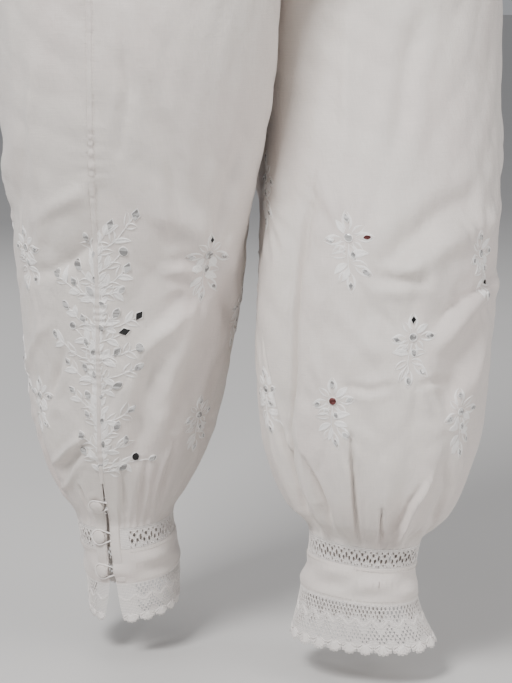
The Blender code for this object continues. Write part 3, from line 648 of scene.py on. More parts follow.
def pixel_finder(side):
    """A function that gives the share and drop of the leg's cloth at a pixel of the photograph."""
    shares = np.linspace(0, 1, FIND_SHARES + 1)[:-1][:, None]
    drops = np.linspace(*FIND_RANGE, FIND_DROPS)[None, :]
    points = skin(side, shares, drops)
    backward = camera_axes()[2]
    facing = normal_of(skin, side, shares, drops) @ backward > FIND_FACING
    x, y = to_pixels(points)

    def find(px, py):
        far = np.where(facing, (x - px) ** 2 + (y - py) ** 2, 1e9)
        i, j = np.unravel_index(int(np.argmin(far)), far.shape)
        fine_shares = shares[i, 0] + np.linspace(-1, 1, FIND_FINER)[:, None] / FIND_SHARES
        fine_drops = drops[0, j] + np.linspace(-1, 1, FIND_FINER)[None, :] * 0.002
        fx, fy = to_pixels(skin(side, fine_shares, fine_drops))
        k, m = np.unravel_index(int(np.argmin((fx - px) ** 2 + (fy - py) ** 2)), fx.shape)
        return float(fine_shares[k, 0]) % 1.0, float(fine_drops[0, m])

    return find


FIND = {side: pixel_finder(side) for side in (RIGHT, LEFT)}


def crease_lines():
    """Every crease with its points as shares and drops, by side."""
    lines = {RIGHT: [], LEFT: []}
    for crease in rows_of(CREASE_COLUMNS, PHOTO_CREASES):
        crease["points"] = [FIND[crease["side"]](x, y) for x, y in crease["points"]]
        lines[crease["side"]].append(crease)
    for crease in rows_of(CREASE_COLUMNS, HIDDEN_CREASES):
        lines[crease["side"]].append(crease)
    return lines


CREASES = crease_lines()
SPRAY_PLACES = {
    side: [FIND[side](row[1], row[2]) for row in PHOTO_SPRAYS if row[0] == side]
    + [(row[1], row[2]) for row in HIDDEN_SPRAYS if row[0] == side]
    for side in (RIGHT, LEFT)
}


def wrap(share):
    """A difference between two shares, the short way round."""
    return (share + 0.5) % 1.0 - 0.5


def crease_height(side, share, drop):
    """How far the creases lift the cloth, or lower it, along its normal."""
    round_leg = leg_round(side, drop)
    total = np.zeros(np.shape(drop))
    for crease in CREASES[side]:
        points = crease["points"]
        origin = points[0][0]
        x = wrap(share - origin) * round_leg
        best = np.full(total.shape, 1e9)
        signed = np.zeros(total.shape)
        along = np.zeros(total.shape)
        spans = len(points) - 1
        for i in range(spans):
            (share_a, drop_a), (share_b, drop_b) = points[i], points[i + 1]
            start = np.array((wrap(share_a - origin) * leg_round(side, drop_a), drop_a))
            end = np.array((wrap(share_b - origin) * leg_round(side, drop_b), drop_b))
            way = end - start
            length = max(float(np.hypot(*way)), 1e-6)
            way = way / length
            t = np.clip((x - start[0]) * way[0] + (drop - start[1]) * way[1], 0.0, length)
            dx, dy = x - start[0] - t * way[0], drop - start[1] - t * way[1]
            distance = np.hypot(dx, dy)
            nearer = distance < best
            best = np.where(nearer, distance, best)
            signed = np.where(nearer, np.sign(dx * way[1] - dy * way[0]) * distance, signed)
            along = np.where(nearer, (i + t / length) / spans, along)
        fade = np.sin(math.pi * np.clip(0.06 + 0.88 * along, 0, 1)) ** 0.7
        part = signed / crease["half_width"]
        if crease["form"] == "step":
            shape = part * np.exp(0.5 - 0.5 * part ** 2)
        elif crease["form"] == "ridge":
            shape = np.exp(-part ** 2)
        elif crease["form"] in ("fold", "crest"):
            wide = np.exp(-0.9 * np.maximum(-part, 0.0))
            sharp = np.exp(-((2.2 * np.maximum(part, 0.0)) ** 2))
            shape = np.where(part < 0, wide, sharp) * (-1.0 if crease["form"] == "fold" else 1.0)
        else:
            shape = -np.exp(-part ** 2) + 0.35 * np.exp(-((np.abs(part) - 1.9) ** 2))
        near = best < CREASE_REACH * crease["half_width"]
        total = total + CREASE_GAIN * crease["depth"] * fade * shape * near
    calm = 1 - np.exp(-np.maximum(GATHER_DROP - drop, 0) / CREASE_CALM)
    return total * calm


def pucker_height(side, share, drop):
    """Small uneven puckers beside the side seam."""
    seam = SIDE_SEAM_AT[side](drop)
    away = np.abs(wrap(share - seam)) * leg_round(side, drop)
    phase = drop / PUCKER_PITCH + 0.8 * np.sin(drop * 61) + 0.5 * np.sin(drop * 143 + 1)
    ripple = np.sin(2 * math.pi * phase + 14 * wrap(share - seam))
    strength = 0.5 + 0.5 * np.sin(drop * 37 + 2)
    open_part = ease((drop - 0.20) / 0.1) * ease((SLIT_TOP_DROP - drop) / 0.02)
    return PUCKER_DEPTH * strength * ripple * np.exp(-((away / PUCKER_HALF_WIDTH) ** 2)) * open_part


def rumple_height(side, share, drop):
    """Soft ridges with sharper valleys between them, stronger in some places than in others."""
    total = np.zeros(np.shape(drop))
    for place, rumple in enumerate(rows_of(RUMPLE_COLUMNS, RUMPLES)):
        wander = 0.9 * np.sin(2 * math.pi * (2 * share - drop / 0.37) + 2 * rumple["phase"])
        turns = rumple["turns"] * share + side * drop / rumple["fall"]
        wave = np.sin(2 * math.pi * turns + rumple["phase"] + wander)
        strong = 0.65 + 0.35 * np.sin(2 * math.pi * (share + drop / 0.45) + 1.7 * side + 2.1 * place)
        total = total + rumple["depth"] * strong * (np.sqrt(wave ** 2 + 0.03) - 0.64)
    return total * ease((SLIT_TOP_DROP + 0.02 - drop) / 0.10)


def pull_height(side, share, drop):
    """Small ridges that run out from each spray, where its stitches draw the cloth together."""
    total = np.zeros(np.shape(drop))
    for middle_share, middle_drop in SPRAY_PLACES[side]:
        dx = wrap(share - middle_share) * leg_round(side, drop)
        dy = 0.75 * (drop - middle_drop)
        angle = np.arctan2(dy, dx)
        bell = np.exp(-(((np.hypot(dx, dy) - PULL_RADIUS) / PULL_SPREAD) ** 2))
        ripple = np.sin(PULL_COUNT * angle + 2.5 * np.sin(2 * angle + 90 * middle_drop))
        total = total + PULL_DEPTH * bell * ripple
    return total


def cloth(side, share, drop):
    """Points of the cloth's outer surface with its creases."""
    share, drop = np.broadcast_arrays(np.asarray(share, float), np.asarray(drop, float))
    height = crease_height(side, share, drop) + pucker_height(side, share, drop)
    height = height + rumple_height(side, share, drop) + pull_height(side, share, drop)
    return raised(skin, side, share, drop, height * ease((drop - CROTCH_DROP) / CREASE_START))


# Materials

MILLIMETRES = (1000, 1000, 1)
SHEEN_TINT = (1.0, 0.97, 0.95, 1)


def new_material(name, colour, roughness, sheen=0.0, specular=0.3, metallic=0.0):
    """A material and its nodes, links and shader, with every even value on the shader's own sockets."""
    material = bpy.data.materials.new(name)
    material.use_nodes = True
    nodes, links = material.node_tree.nodes, material.node_tree.links
    shader = nodes["Principled BSDF"]
    shader.inputs["Base Color"].default_value = (*colour, 1)
    shader.inputs["Roughness"].default_value = roughness
    shader.inputs["Metallic"].default_value = metallic
    shader.inputs["Specular IOR Level"].default_value = specular
    shader.inputs["Sheen Weight"].default_value = sheen
    shader.inputs["Sheen Roughness"].default_value = 0.5
    shader.inputs["Sheen Tint"].default_value = SHEEN_TINT
    return material, nodes, links, shader


def scaled_uv(nodes, links, scale):
    """Coordinates that lie on the cloth, in metres times scale."""
    uv = nodes.new("ShaderNodeUVMap")
    mapping = nodes.new("ShaderNodeMapping")
    mapping.inputs["Scale"].default_value = scale
    links.new(uv.outputs["UV"], mapping.inputs["Vector"])
    return mapping.outputs["Vector"]


def noise(nodes, links, vector, scale=1.0, detail=3.0, rough=0.5):
    node = nodes.new("ShaderNodeTexNoise")
    node.inputs["Scale"].default_value = scale
    node.inputs["Detail"].default_value = detail
    node.inputs["Roughness"].default_value = rough
    links.new(vector, node.inputs["Vector"])
    return node.outputs["Fac"]


def bands(nodes, links, direction, vector, scale, distortion, detail_scale=1.0):
    """Even bands in one direction."""
    node = nodes.new("ShaderNodeTexWave")
    node.bands_direction = direction
    node.inputs["Scale"].default_value = scale
    node.inputs["Distortion"].default_value = distortion
    node.inputs["Detail Scale"].default_value = detail_scale
    links.new(vector, node.inputs["Vector"])
    return node.outputs["Fac"]


def combine(nodes, links, operation, first, second):
    node = nodes.new("ShaderNodeMath")
    node.operation = operation
    links.new(first, node.inputs[0])
    links.new(second, node.inputs[1])
    return node.outputs["Value"]


def mix_colours(nodes, links, factor, first, second):
    node = nodes.new("ShaderNodeMix")
    node.data_type = "RGBA"
    node.inputs[6].default_value = (*first, 1)
    node.inputs[7].default_value = (*second, 1)
    links.new(factor, node.inputs[0])
    return node.outputs[2]


def bump(nodes, links, height, distance, strength=1.0, under=None):
    node = nodes.new("ShaderNodeBump")
    node.inputs["Distance"].default_value = distance
    node.inputs["Strength"].default_value = strength
    links.new(height, node.inputs["Height"])
    if under is not None:
        links.new(under, node.inputs["Normal"])
    return node.outputs["Normal"]


def remap(nodes, links, value, low, high, to_low, to_high):
    node = nodes.new("ShaderNodeMapRange")
    node.inputs["From Min"].default_value = low
    node.inputs["From Max"].default_value = high
    node.inputs["To Min"].default_value = to_low
    node.inputs["To Max"].default_value = to_high
    links.new(value, node.inputs["Value"])
    return node.outputs["Result"]


def two_tones(nodes, links, shader, value, low, high, darkening, colour):
    """The shader's colour, darker where a value is low."""
    tint = remap(nodes, links, value, low, high, 0.0, 1.0)
    darker = tuple(darkening * part for part in colour)
    links.new(mix_colours(nodes, links, tint, darker, colour), shader.inputs["Base Color"])


def cloth_material(name, colour, shade):
    """Cotton silk: a fine weave with slubs, a soft sheen, faint rumples and a slightly rosy shade."""
    material, nodes, links, shader = new_material(name, colour, 0.5, sheen=0.25, specular=0.32)
    warp = noise(nodes, links, scaled_uv(nodes, links, (1500, 55, 1)), detail=2)
    weft = noise(nodes, links, scaled_uv(nodes, links, (45, 1300, 1)), detail=2)
    slubs = combine(nodes, links, "ADD", warp, weft)
    vector = scaled_uv(nodes, links, MILLIMETRES)
    across, along = [bands(nodes, links, way, vector, 0.55, 1.2, 2.0) for way in "XY"]
    weave = combine(nodes, links, "MULTIPLY", across, along)
    rumple = noise(nodes, links, scaled_uv(nodes, links, (26, 17, 1)), detail=4, rough=0.55)
    broad = noise(nodes, links, scaled_uv(nodes, links, (7, 5, 1)), detail=3)
    tint = remap(nodes, links, broad, 0.42, 0.66, 0.0, 1.0)
    fine = remap(nodes, links, slubs, 0.75, 1.3, 0.0, 1.0)
    blended = nodes.new("ShaderNodeMix")
    blended.data_type = "RGBA"
    blended.blend_type = "MULTIPLY"
    blended.inputs[0].default_value = 1.0
    links.new(mix_colours(nodes, links, tint, colour, shade), blended.inputs[6])
    links.new(mix_colours(nodes, links, fine, (0.93, 0.93, 0.93), (1.0, 1.0, 1.0)), blended.inputs[7])
    links.new(blended.outputs[2], shader.inputs["Base Color"])
    links.new(remap(nodes, links, slubs, 0.75, 1.3, 0.58, 0.42), shader.inputs["Roughness"])
    under = bump(nodes, links, rumple, 0.0060, 0.55)
    under = bump(nodes, links, slubs, 0.00035, 0.6, under)
    links.new(bump(nodes, links, weave, 0.00012, 0.6, under), shader.inputs["Normal"])
    return material


def thread_material(name, colour, pitch, sheen, specular):
    """Yarn: fine twisted ridges across each thread, with a little unevenness."""
    material, nodes, links, shader = new_material(name, colour, 0.6, sheen=sheen, specular=specular)
    twist = bands(nodes, links, "Y", scaled_uv(nodes, links, (1.0 / pitch, 1.0 / pitch, 1)), 0.16, 0.8)
    fuzz = noise(nodes, links, scaled_uv(nodes, links, (700, 700, 1)), detail=3)
    two_tones(nodes, links, shader, fuzz, 0.3, 0.7, 0.86, colour)
    under = bump(nodes, links, fuzz, 0.0003, 0.5)
    links.new(bump(nodes, links, twist, 0.00025, 0.7, under), shader.inputs["Normal"])
    return material


def crochet_material(name, colour):
    """Dense crochet: small knots in rows, with painted shade between them."""
    material, nodes, links, shader = new_material(name, colour, 0.7, sheen=0.2, specular=0.2)
    vector = scaled_uv(nodes, links, MILLIMETRES)
    across = bands(nodes, links, "X", vector, 0.24, 2.2, 2.0)
    along = bands(nodes, links, "Y", vector, 0.19, 2.2, 2.0)
    knots = combine(nodes, links, "MULTIPLY", across, along)
    # painted shade: the colour goes darker in the hollows between the knots, where shade falls
    two_tones(nodes, links, shader, knots, 0.02, 0.35, 0.72, colour)
    links.new(bump(nodes, links, knots, 0.0006, 0.8), shader.inputs["Normal"])
    return material


def mirror_material(name, colour, roughness):
    """Small pieces of mirror foil, each a little uneven in surface and roughness, with painted reflections:
    darker and lighter patches in the foil's colour.
    """
    material, nodes, links, shader = new_material(name, colour, roughness, metallic=0.3, specular=0.6)
    uneven = noise(nodes, links, scaled_uv(nodes, links, (240, 240, 1)), detail=2)
    # painted reflection: the noise darkens the foil's colour in patches, standing in for the dark and bright
    # things that it reflects
    two_tones(nodes, links, shader, uneven, 0.38, 0.58, 0.38, colour)
    roughness = remap(nodes, links, uneven, 0.3, 0.7, 0.6 * roughness, 2.0 * roughness)
    links.new(roughness, shader.inputs["Roughness"])
    links.new(bump(nodes, links, uneven, 0.0006, 0.5), shader.inputs["Normal"])
    return material


CLOTH = cloth_material("white_cloth_weave", CLOTH_COLOUR, CLOTH_SHADE)
LACE = thread_material("crochet_thread", LACE_COLOUR, 0.0011, 0.15, 0.25)
GROUND = crochet_material("crochet_ground", LACE_COLOUR)
SATIN = thread_material("satin_stitch", THREAD_COLOUR, 0.0006, 0.3, 0.45)
SEWING = thread_material("sewing_thread", CLOTH_COLOUR, 0.0005, 0.1, 0.3)
BUTTON = cloth_material("button_cloth", CLOTH_COLOUR, CLOTH_SHADE)
MIRRORS = {
    "bright": mirror_material("mirror_foil", MIRROR_COLOUR, 0.22),
    "dark": mirror_material("dark_mirror_foil", DARK_MIRROR_COLOUR, 0.12),
    "rosy": mirror_material("rosy_mirror_foil", ROSY_MIRROR_COLOUR, 0.20),
}


# Meshes


def add_object(name, data):
    thing = bpy.data.objects.new(name, data)
    bpy.context.scene.collection.objects.link(thing)
    return thing


def finish_piece(name, points, faces, uv, material, nodes=(), smooth=True):
    """A named piece from arrays, riding on the garment's body."""
    mesh = bpy.data.meshes.new(name)
    mesh.from_pydata(np.reshape(points, (-1, 3)).tolist(), [], faces)
    layer = mesh.uv_layers.new(name="cloth")
    index = np.empty(len(mesh.loops), dtype=np.int32)
    mesh.loops.foreach_get("vertex_index", index)
    layer.data.foreach_set("uv", np.asarray(uv, float)[index].ravel())
    if smooth:
        mesh.shade_smooth()
    mesh.materials.append(material)
    piece = add_object(name, mesh)
    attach(piece, "root")
    if nodes:
        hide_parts(*nodes)
    return piece


def grid_faces(rows, columns, closed=False, flip=False):
    """Quads between the points of a grid."""
    spans = columns if closed else columns - 1
    r, c = np.meshgrid(np.arange(rows - 1), np.arange(spans), indexing="ij")
    d = (c + 1) % columns
    upper, lower = r * columns, (r + 1) * columns
    quads = np.stack([upper + c, lower + c, lower + d, upper + d], axis=-1).reshape(-1, 4)
    return quads[:, ::-1] if flip else quads


def cloth_piece(name, points, uv, nodes=(), flip=False, closed=False):
    """A piece of white cloth from a grid of points."""
    faces = grid_faces(*points.shape[:2], closed=closed, flip=flip).tolist()
    uv = np.stack(np.broadcast_arrays(*uv), axis=-1).reshape(-1, 2)
    return finish_piece(name, points, faces, uv, CLOTH, nodes)


class Bunch:
    """Many small forms gathered into one mesh."""

    def __init__(self):
        self.vertices = []
        self.faces = []
        self.uv = []
        self.count = 0

    def add(self, points, faces, uv):
        self.vertices.append(points.reshape(-1, 3))
        self.uv.append(np.asarray(uv, float).reshape(-1, 2))
        self.faces.extend((faces + self.count).tolist())
        self.count += len(self.vertices[-1])

    def polygon(self, indices, first):
        self.faces.append([first + i for i in indices])

    def build(self, name, material, slot, nodes=(), smooth=True):
        vertices, uv = np.concatenate(self.vertices), np.concatenate(self.uv)
        finish_piece(name, vertices, self.faces, uv, material, nodes, smooth)


def tube(bunch, path, normals, radius, sides=5, flat=1.0, closed=False):
    """A thread along a path: radius may vary along it, and flat presses it onto the cloth."""
    count = len(path)
    if closed:
        tangent = np.roll(path, -1, axis=0) - np.roll(path, 1, axis=0)
    else:
        tangent = np.gradient(path, axis=0)
    side_way = unit(np.cross(tangent, normals))
    top_way = unit(np.cross(side_way, tangent))
    radius = np.broadcast_to(np.asarray(radius, float), (count,))[:, None, None]
    angle = (2 * math.pi * np.arange(sides) / sides)[None, :, None]
    ring = path[:, None, :] + radius * (
        side_way[:, None, :] * np.cos(angle) + flat * top_way[:, None, :] * np.sin(angle)
    )
    uv = np.empty((count, sides, 2))
    uv[..., 0] = (np.arange(sides) / sides * 2 * math.pi)[None, :] * radius[:, :, 0]
    uv[..., 1] = way_along(path)[:, None]
    index = np.arange(count * sides).reshape(count, sides)
    if closed:
        index = np.concatenate([index, index[:1]])
    a, b = index[:-1], index[1:]
    quads = np.stack([a, b, np.roll(b, -1, axis=1), np.roll(a, -1, axis=1)], axis=-1).reshape(-1, 4)
    first = bunch.count
    bunch.add(ring, quads, uv)
    if not closed:
        bunch.polygon(list(range(sides)), first)
        bunch.polygon([(count - 1) * sides + i for i in range(sides)][::-1], first)


class Threads:
    """Threads drawn on a surface by share and drop, worked out together and then swept."""

    def __init__(self, side, surface):
        self.side = side
        self.surface = surface
        self.lines = []

    def line(self, shares, drops, height, radius, sides=5, flat=1.0, closed=False):
        shares, drops = np.broadcast_arrays(np.asarray(shares, float), np.asarray(drops, float))
        height = np.broadcast_to(np.asarray(height, float), shares.shape)
        self.lines.append((shares, drops, height, radius, sides, flat, closed))

    def sweep(self, bunch):
        shares, drops, heights = [np.concatenate([line[i] for line in self.lines]) for i in range(3)]
        normals = normal_of(skin, self.side, shares, drops)
        points = self.surface(self.side, shares, drops) + normals * heights[:, None]
        start = 0
        for line in self.lines:
            end = start + len(line[0])
            tube(bunch, points[start:end], normals[start:end], *line[3:])
            start = end

    def build(self, name, material, slot):
        bunch = Bunch()
        self.sweep(bunch)
        bunch.build(name, material, slot)


# Leg panels

SEAM_CROWDING = 0.144


def seam_and_speed(side, drop):
    """The share at the side seam, and the metres round the leg for each whole share there."""
    seam = SIDE_SEAM_AT[side](drop)
    return seam, ring_speed(side, seam, drop)


def seam_and_slit(side, drop):
    """The share at the side seam, and half the width of its slit as a share."""
    seam, speed = seam_and_speed(side, drop)
    return seam, SLIT_AT[side](drop) / 2 / speed


def seam_spacing(count):
    """Places from 0 to 1 that lie closer together near both ends."""
    t = np.linspace(0, 1, count + 1)
    return t - SEAM_CROWDING * np.sin(2 * math.pi * t) / (2 * math.pi)


def panel_drops():
    """Rows of a panel, closest together just above the crotch."""
    hips = np.linspace(BAND_HALF_HEIGHT, CLEFT_TOP_DROP, HIP_ROWS + 1)[:-1]
    bend = np.sin(np.linspace(0, math.pi / 2, CLEFT_ROWS + 1))[:-1]
    cleft = CLEFT_TOP_DROP + (CROTCH_DROP - CLEFT_TOP_DROP) * bend
    t = np.linspace(0, 1, LEG_ROWS + 1)
    leg = CROTCH_DROP + (GATHER_DROP - CROTCH_DROP) * (t + 0.10 * np.sin(math.pi * t))
    return np.concatenate([hips, cleft, leg])


def leg_panel(name, side, panel):
    """One panel of a leg as a thin shell."""
    drops = panel_drops()[:, None]
    seam, slit = seam_and_slit(side, drops)
    slit = np.where(drops <= SLIT_TOP_DROP, 0.0, slit)
    t = seam_spacing(PANEL_COLUMNS)[None, :]
    shares = t * (seam - slit) if panel == "front" else 1 - t * (1 - seam - slit)
    drops = np.broadcast_to(drops, shares.shape)
    points = cloth(side, shares, drops)
    points[drops[:, 0] <= CROTCH_DROP, 0, 0] = 0.0
    crotch = int(np.argmin(np.abs(drops[:, 0] - CROTCH_DROP)))
    points[crotch, 0] = (0.0, CROTCH_Y, points[crotch, 0, 2])
    node = f"{name}_leg_{panel}"
    flip = (panel == "front") == (side == RIGHT)
    return cloth_piece(f"{node}_cloth", points, (shares * THIGH_ROUND, drops), [node], flip)


def band_share(side, way, drop):
    """The share at a way round the ankle, from the slit's front edge through the inseam to its back edge."""
    seam, slit = seam_and_slit(side, drop)
    return seam - slit - way * (1 - 2 * slit)


def band_skin(side, share, drop):
    """Points of the bands at the ankle, which the gathers above them leave smooth."""
    share, drop = np.broadcast_arrays(np.asarray(share, float) % 1.0, np.asarray(drop, float))
    return raised(skin, side, share, drop, -gather(side, share, drop) * (drop >= GATHER_DROP))


def band_line(threads, ways, drops, lift, radius, sides=5, closed=False):
    """A thread on the bands, by its ways round the ankle."""
    threads.line(band_share(threads.side, ways, drops), drops, lift, radius, sides, closed=closed)


CUFF_ROWS, CUFF_COLUMNS = 22, 220
CUFF_CROWN = 0.0007
CUFF_JOIN = {RIGHT: 0.96, LEFT: FIND[LEFT](356, 572)[0]}
CUFF_JOIN_DEPTH = 0.0010
CUFF_JOIN_HALF_WAY = 0.006


def cuff(name, side):
    """The plain band between the two laces: a soft hollow shell with a few slack wrinkles."""
    drops = np.linspace(INSERTION_DROP - 0.0012, CUFF_DROP + 0.0008, CUFF_ROWS + 1)[:, None]
    ways = np.linspace(0, 1, CUFF_COLUMNS + 1)[None, :]
    shares = band_share(side, ways, drops)
    drops = np.broadcast_to(drops, shares.shape)
    t = (drops - drops[0, 0]) / (drops[-1, 0] - drops[0, 0])
    slack = 0.0022 * np.sin(2 * math.pi * (2.0 * ways + 0.8 * t) + 1.3 * side)
    slack = slack + 0.0011 * np.sin(2 * math.pi * (5.0 * ways - 1.3 * t) + 0.6)
    lift = CUFF_CROWN * np.sin(math.pi * t) ** 0.5 + slack * np.sin(math.pi * t)
    front_edge, back_edge = band_share(side, 0.0, CUFF_DROP), band_share(side, 1.0, CUFF_DROP)
    join = ((front_edge - CUFF_JOIN[side]) % 1.0) / (front_edge - back_edge)
    near_join = np.exp(-(((ways - join) / CUFF_JOIN_HALF_WAY) ** 2))
    lift = lift - CUFF_JOIN_DEPTH * near_join * np.sin(math.pi * t) ** 0.3
    points = raised(band_skin, side, shares, drops, lift)
    node = f"{name}_cuff"
    return cloth_piece(f"{node}_cloth", points, (ways * 0.33, drops), [node], side == LEFT)


FACING_ROWS, FACING_COLUMNS = 60, 14
FACING_OVERLAP = 0.04
FACING_ROOT = -0.0003


def facing(name, side, panel):
    """The flat strip beside the slit, folded under at its edges."""
    drops = np.linspace(SLIT_TOP_DROP + 0.002, CUFF_DROP, FACING_ROWS + 1)[:, None]
    seam, slit = seam_and_slit(side, drops)
    t = np.linspace(-FACING_OVERLAP, 1.0, FACING_COLUMNS + 1)[None, :]
    if panel == "front":
        edge = seam - slit
        shares = edge - (1 - t) * FACING_SHARE * edge
    else:
        edge = 1 - seam - slit
        shares = 1 - edge + (1 - t) * FACING_SHARE * edge
    drops = np.broadcast_to(drops, shares.shape)
    edges = np.minimum(np.minimum((t + FACING_OVERLAP) / 0.09, (1 - t) / 0.09), 1.0)
    s = (drops - drops[0, 0]) / (drops[-1, 0] - drops[0, 0])
    ends = ease(s / 0.45) * np.minimum((1 - s) / 0.02, 1.0)
    lift = FACING_ROOT + (FACING_TOP - FACING_ROOT) * np.sqrt(np.clip(edges, 0, 1)) * ends
    lift = lift + 0.0002 * np.sin(drops * 300 + 3 * t)
    points = raised(cloth, side, shares, drops, lift)
    node = f"{name}_facing_{panel}"
    flip = (panel == "front") == (side == RIGHT)
    return cloth_piece(f"{node}_cloth", points, (t * 0.014, drops), [node], flip)


# Lace

# Holes of one repeat: how far down as a part of the depth, half width, half height, and places across
INSERTION_HOLES = (
    (0.46, 0.0015, 0.0034, (0.50,)),
    (0.60, 0.0015, 0.0026, (0.22, 0.78)),
    (0.34, 0.0017, 0.0022, (0.00,)),
    (0.86, 0.0009, 0.0011, (0.37, 0.63)),
    (0.80, 0.0011, 0.0018, (0.00,)),
    (0.20, 0.0011, 0.0015, (0.27, 0.73)),
)
HEM_HOLES = (
    (0.085, 0.0013, 0.0021, (0.125, 0.375, 0.625, 0.875)),
    (0.165, 0.0012, 0.0020, (0.000,)),
    (0.165, 0.0013, 0.0021, (0.250, 0.500, 0.750)),
    (0.245, 0.0013, 0.0021, (0.375, 0.625)),
    (0.245, 0.0010, 0.0014, (0.125, 0.875)),
    (0.325, 0.0012, 0.0018, (0.500,)),
    (0.320, 0.0007, 0.0011, (0.300, 0.700)),
    (0.420, 0.0010, 0.0014, (0.000,)),
    (0.490, 0.0011, 0.0015, (0.120, 0.880)),
    (0.560, 0.0011, 0.0015, (0.240, 0.760)),
    (0.560, 0.0012, 0.0016, (0.000,)),
    (0.630, 0.0012, 0.0016, (0.120, 0.880)),
    (0.630, 0.0011, 0.0015, (0.370, 0.630)),
    (0.700, 0.0012, 0.0016, (0.250, 0.500, 0.750)),
    (0.700, 0.0010, 0.0014, (0.000,)),
    (0.770, 0.0012, 0.0014, (0.375, 0.625)),
)
LINED_WAY = 0.055
GROUND_STEP = 0.00065
GROUND_LIFT = -0.0005
KNOT_HEIGHT = 0.00012
HOLE_RIM = 0.00030
RIM_STEPS = 8
EDGE_LINES = 0.0004
LACE_SEAM = 0.0004
SPOKES = 6
SPOKE_LEAN = 0.23
PICOTS = 2
PICOT_PITCH = 0.19


def lace_ground(node, side, span, top, bottom, repeats, holes, threads):
    """A thin sheet of dense crochet with its small holes left out, and a rim of thread round each hole."""
    first, last = span
    columns = int((last - first) * ANKLE_ROUND / GROUND_STEP)
    ways = np.linspace(first, last, columns + 1)[:, None]
    deepest = float(np.max(bottom(ways))) - top
    rows = int(deepest / GROUND_STEP)
    t = np.linspace(0, 1, rows + 1)[None, :]
    drops = top + t * (bottom(ways) - top)
    ways = np.broadcast_to(ways, drops.shape)
    cell_way = (ways[:-1, :-1] + ways[1:, 1:]) / 2
    cell_drop = (drops[:-1, :-1] + drops[1:, 1:]) / 2
    pitch = ANKLE_ROUND / repeats
    keep = np.ones(cell_way.shape, bool)
    open_part = (cell_way > LINED_WAY) & (cell_way < 1 - LINED_WAY)
    turn = np.linspace(0, 2 * math.pi, RIM_STEPS + 1)[:-1]
    for down, half_width, half_height, across_places in holes:
        dy = cell_drop - top - down * deepest
        rim_drops = top + down * deepest + 1.08 * half_height * np.sin(turn)
        for across in across_places:
            dx = wrap(cell_way * repeats - across) * pitch
            inside = (np.abs(dx) / half_width) ** 1.5 + (np.abs(dy) / half_height) ** 1.5 < 1
            keep &= ~(inside & open_part)
            for k in range(repeats):
                way = (k + across) / repeats
                if max(first, LINED_WAY) < way < min(last, 1 - LINED_WAY):
                    rim_ways = way + 1.10 * half_width / ANKLE_ROUND * np.cos(turn)
                    band_line(threads, rim_ways, rim_drops, GROUND_LIFT + 0.0002, HOLE_RIM, 4, closed=True)
    knots = np.sin(2 * math.pi * ways * ANKLE_ROUND / 0.0022) * np.sin(2 * math.pi * drops / 0.0026)
    points = raised(band_skin, side, band_share(side, ways, drops), drops, GROUND_LIFT + KNOT_HEIGHT * knots)
    uv = np.stack([ways * ANKLE_ROUND, drops], axis=-1).reshape(-1, 2)
    faces = grid_faces(columns + 1, rows + 1, flip=side == RIGHT)[keep.ravel()]
    used, faces = np.unique(faces, return_inverse=True)
    faces = faces.reshape(-1, 4).tolist()
    points = points.reshape(-1, 3)[used]
    ground = finish_piece(f"{node}_ground", points, faces, uv[used], GROUND, [node])
    return ground, (last - first) * ANKLE_ROUND, deepest


def beaded_lines(threads, span, count, lines, beads, swell, lift):
    """Firm threads with small beads along the lace, each by its drop and radius."""
    ways = np.linspace(*span, count)
    for drop, radius in lines:
        knots = radius * (1 + swell * np.sin(2 * math.pi * ways * beads))
        band_line(threads, ways, np.full(ways.shape, drop), lift, knots)


def insertion(name, side, half):
    """The narrow crochet: fans of three holes with smaller ones between them, inside two firm edges."""
    threads = Threads(side, band_skin)
    top, bottom = GATHER_DROP + LACE_SEAM, INSERTION_DROP - 0.5 * LACE_SEAM
    span = (0.0, 0.5) if half == "front" else (0.5, 1.0)
    node = f"{name}_insertion_{half}"

    def edge(way):
        return bottom + 0 * way

    sheet = lace_ground(node, side, span, top, edge, INSERTION_REPEATS, INSERTION_HOLES, threads)
    edges = ((top + EDGE_LINES, 0.0005), (bottom - EDGE_LINES, 0.0005))
    beaded_lines(threads, span, 150, edges, 150, 0.16, -0.0004)
    threads.build(f"{node}_crochet", LACE, "white_lace")
    return sheet


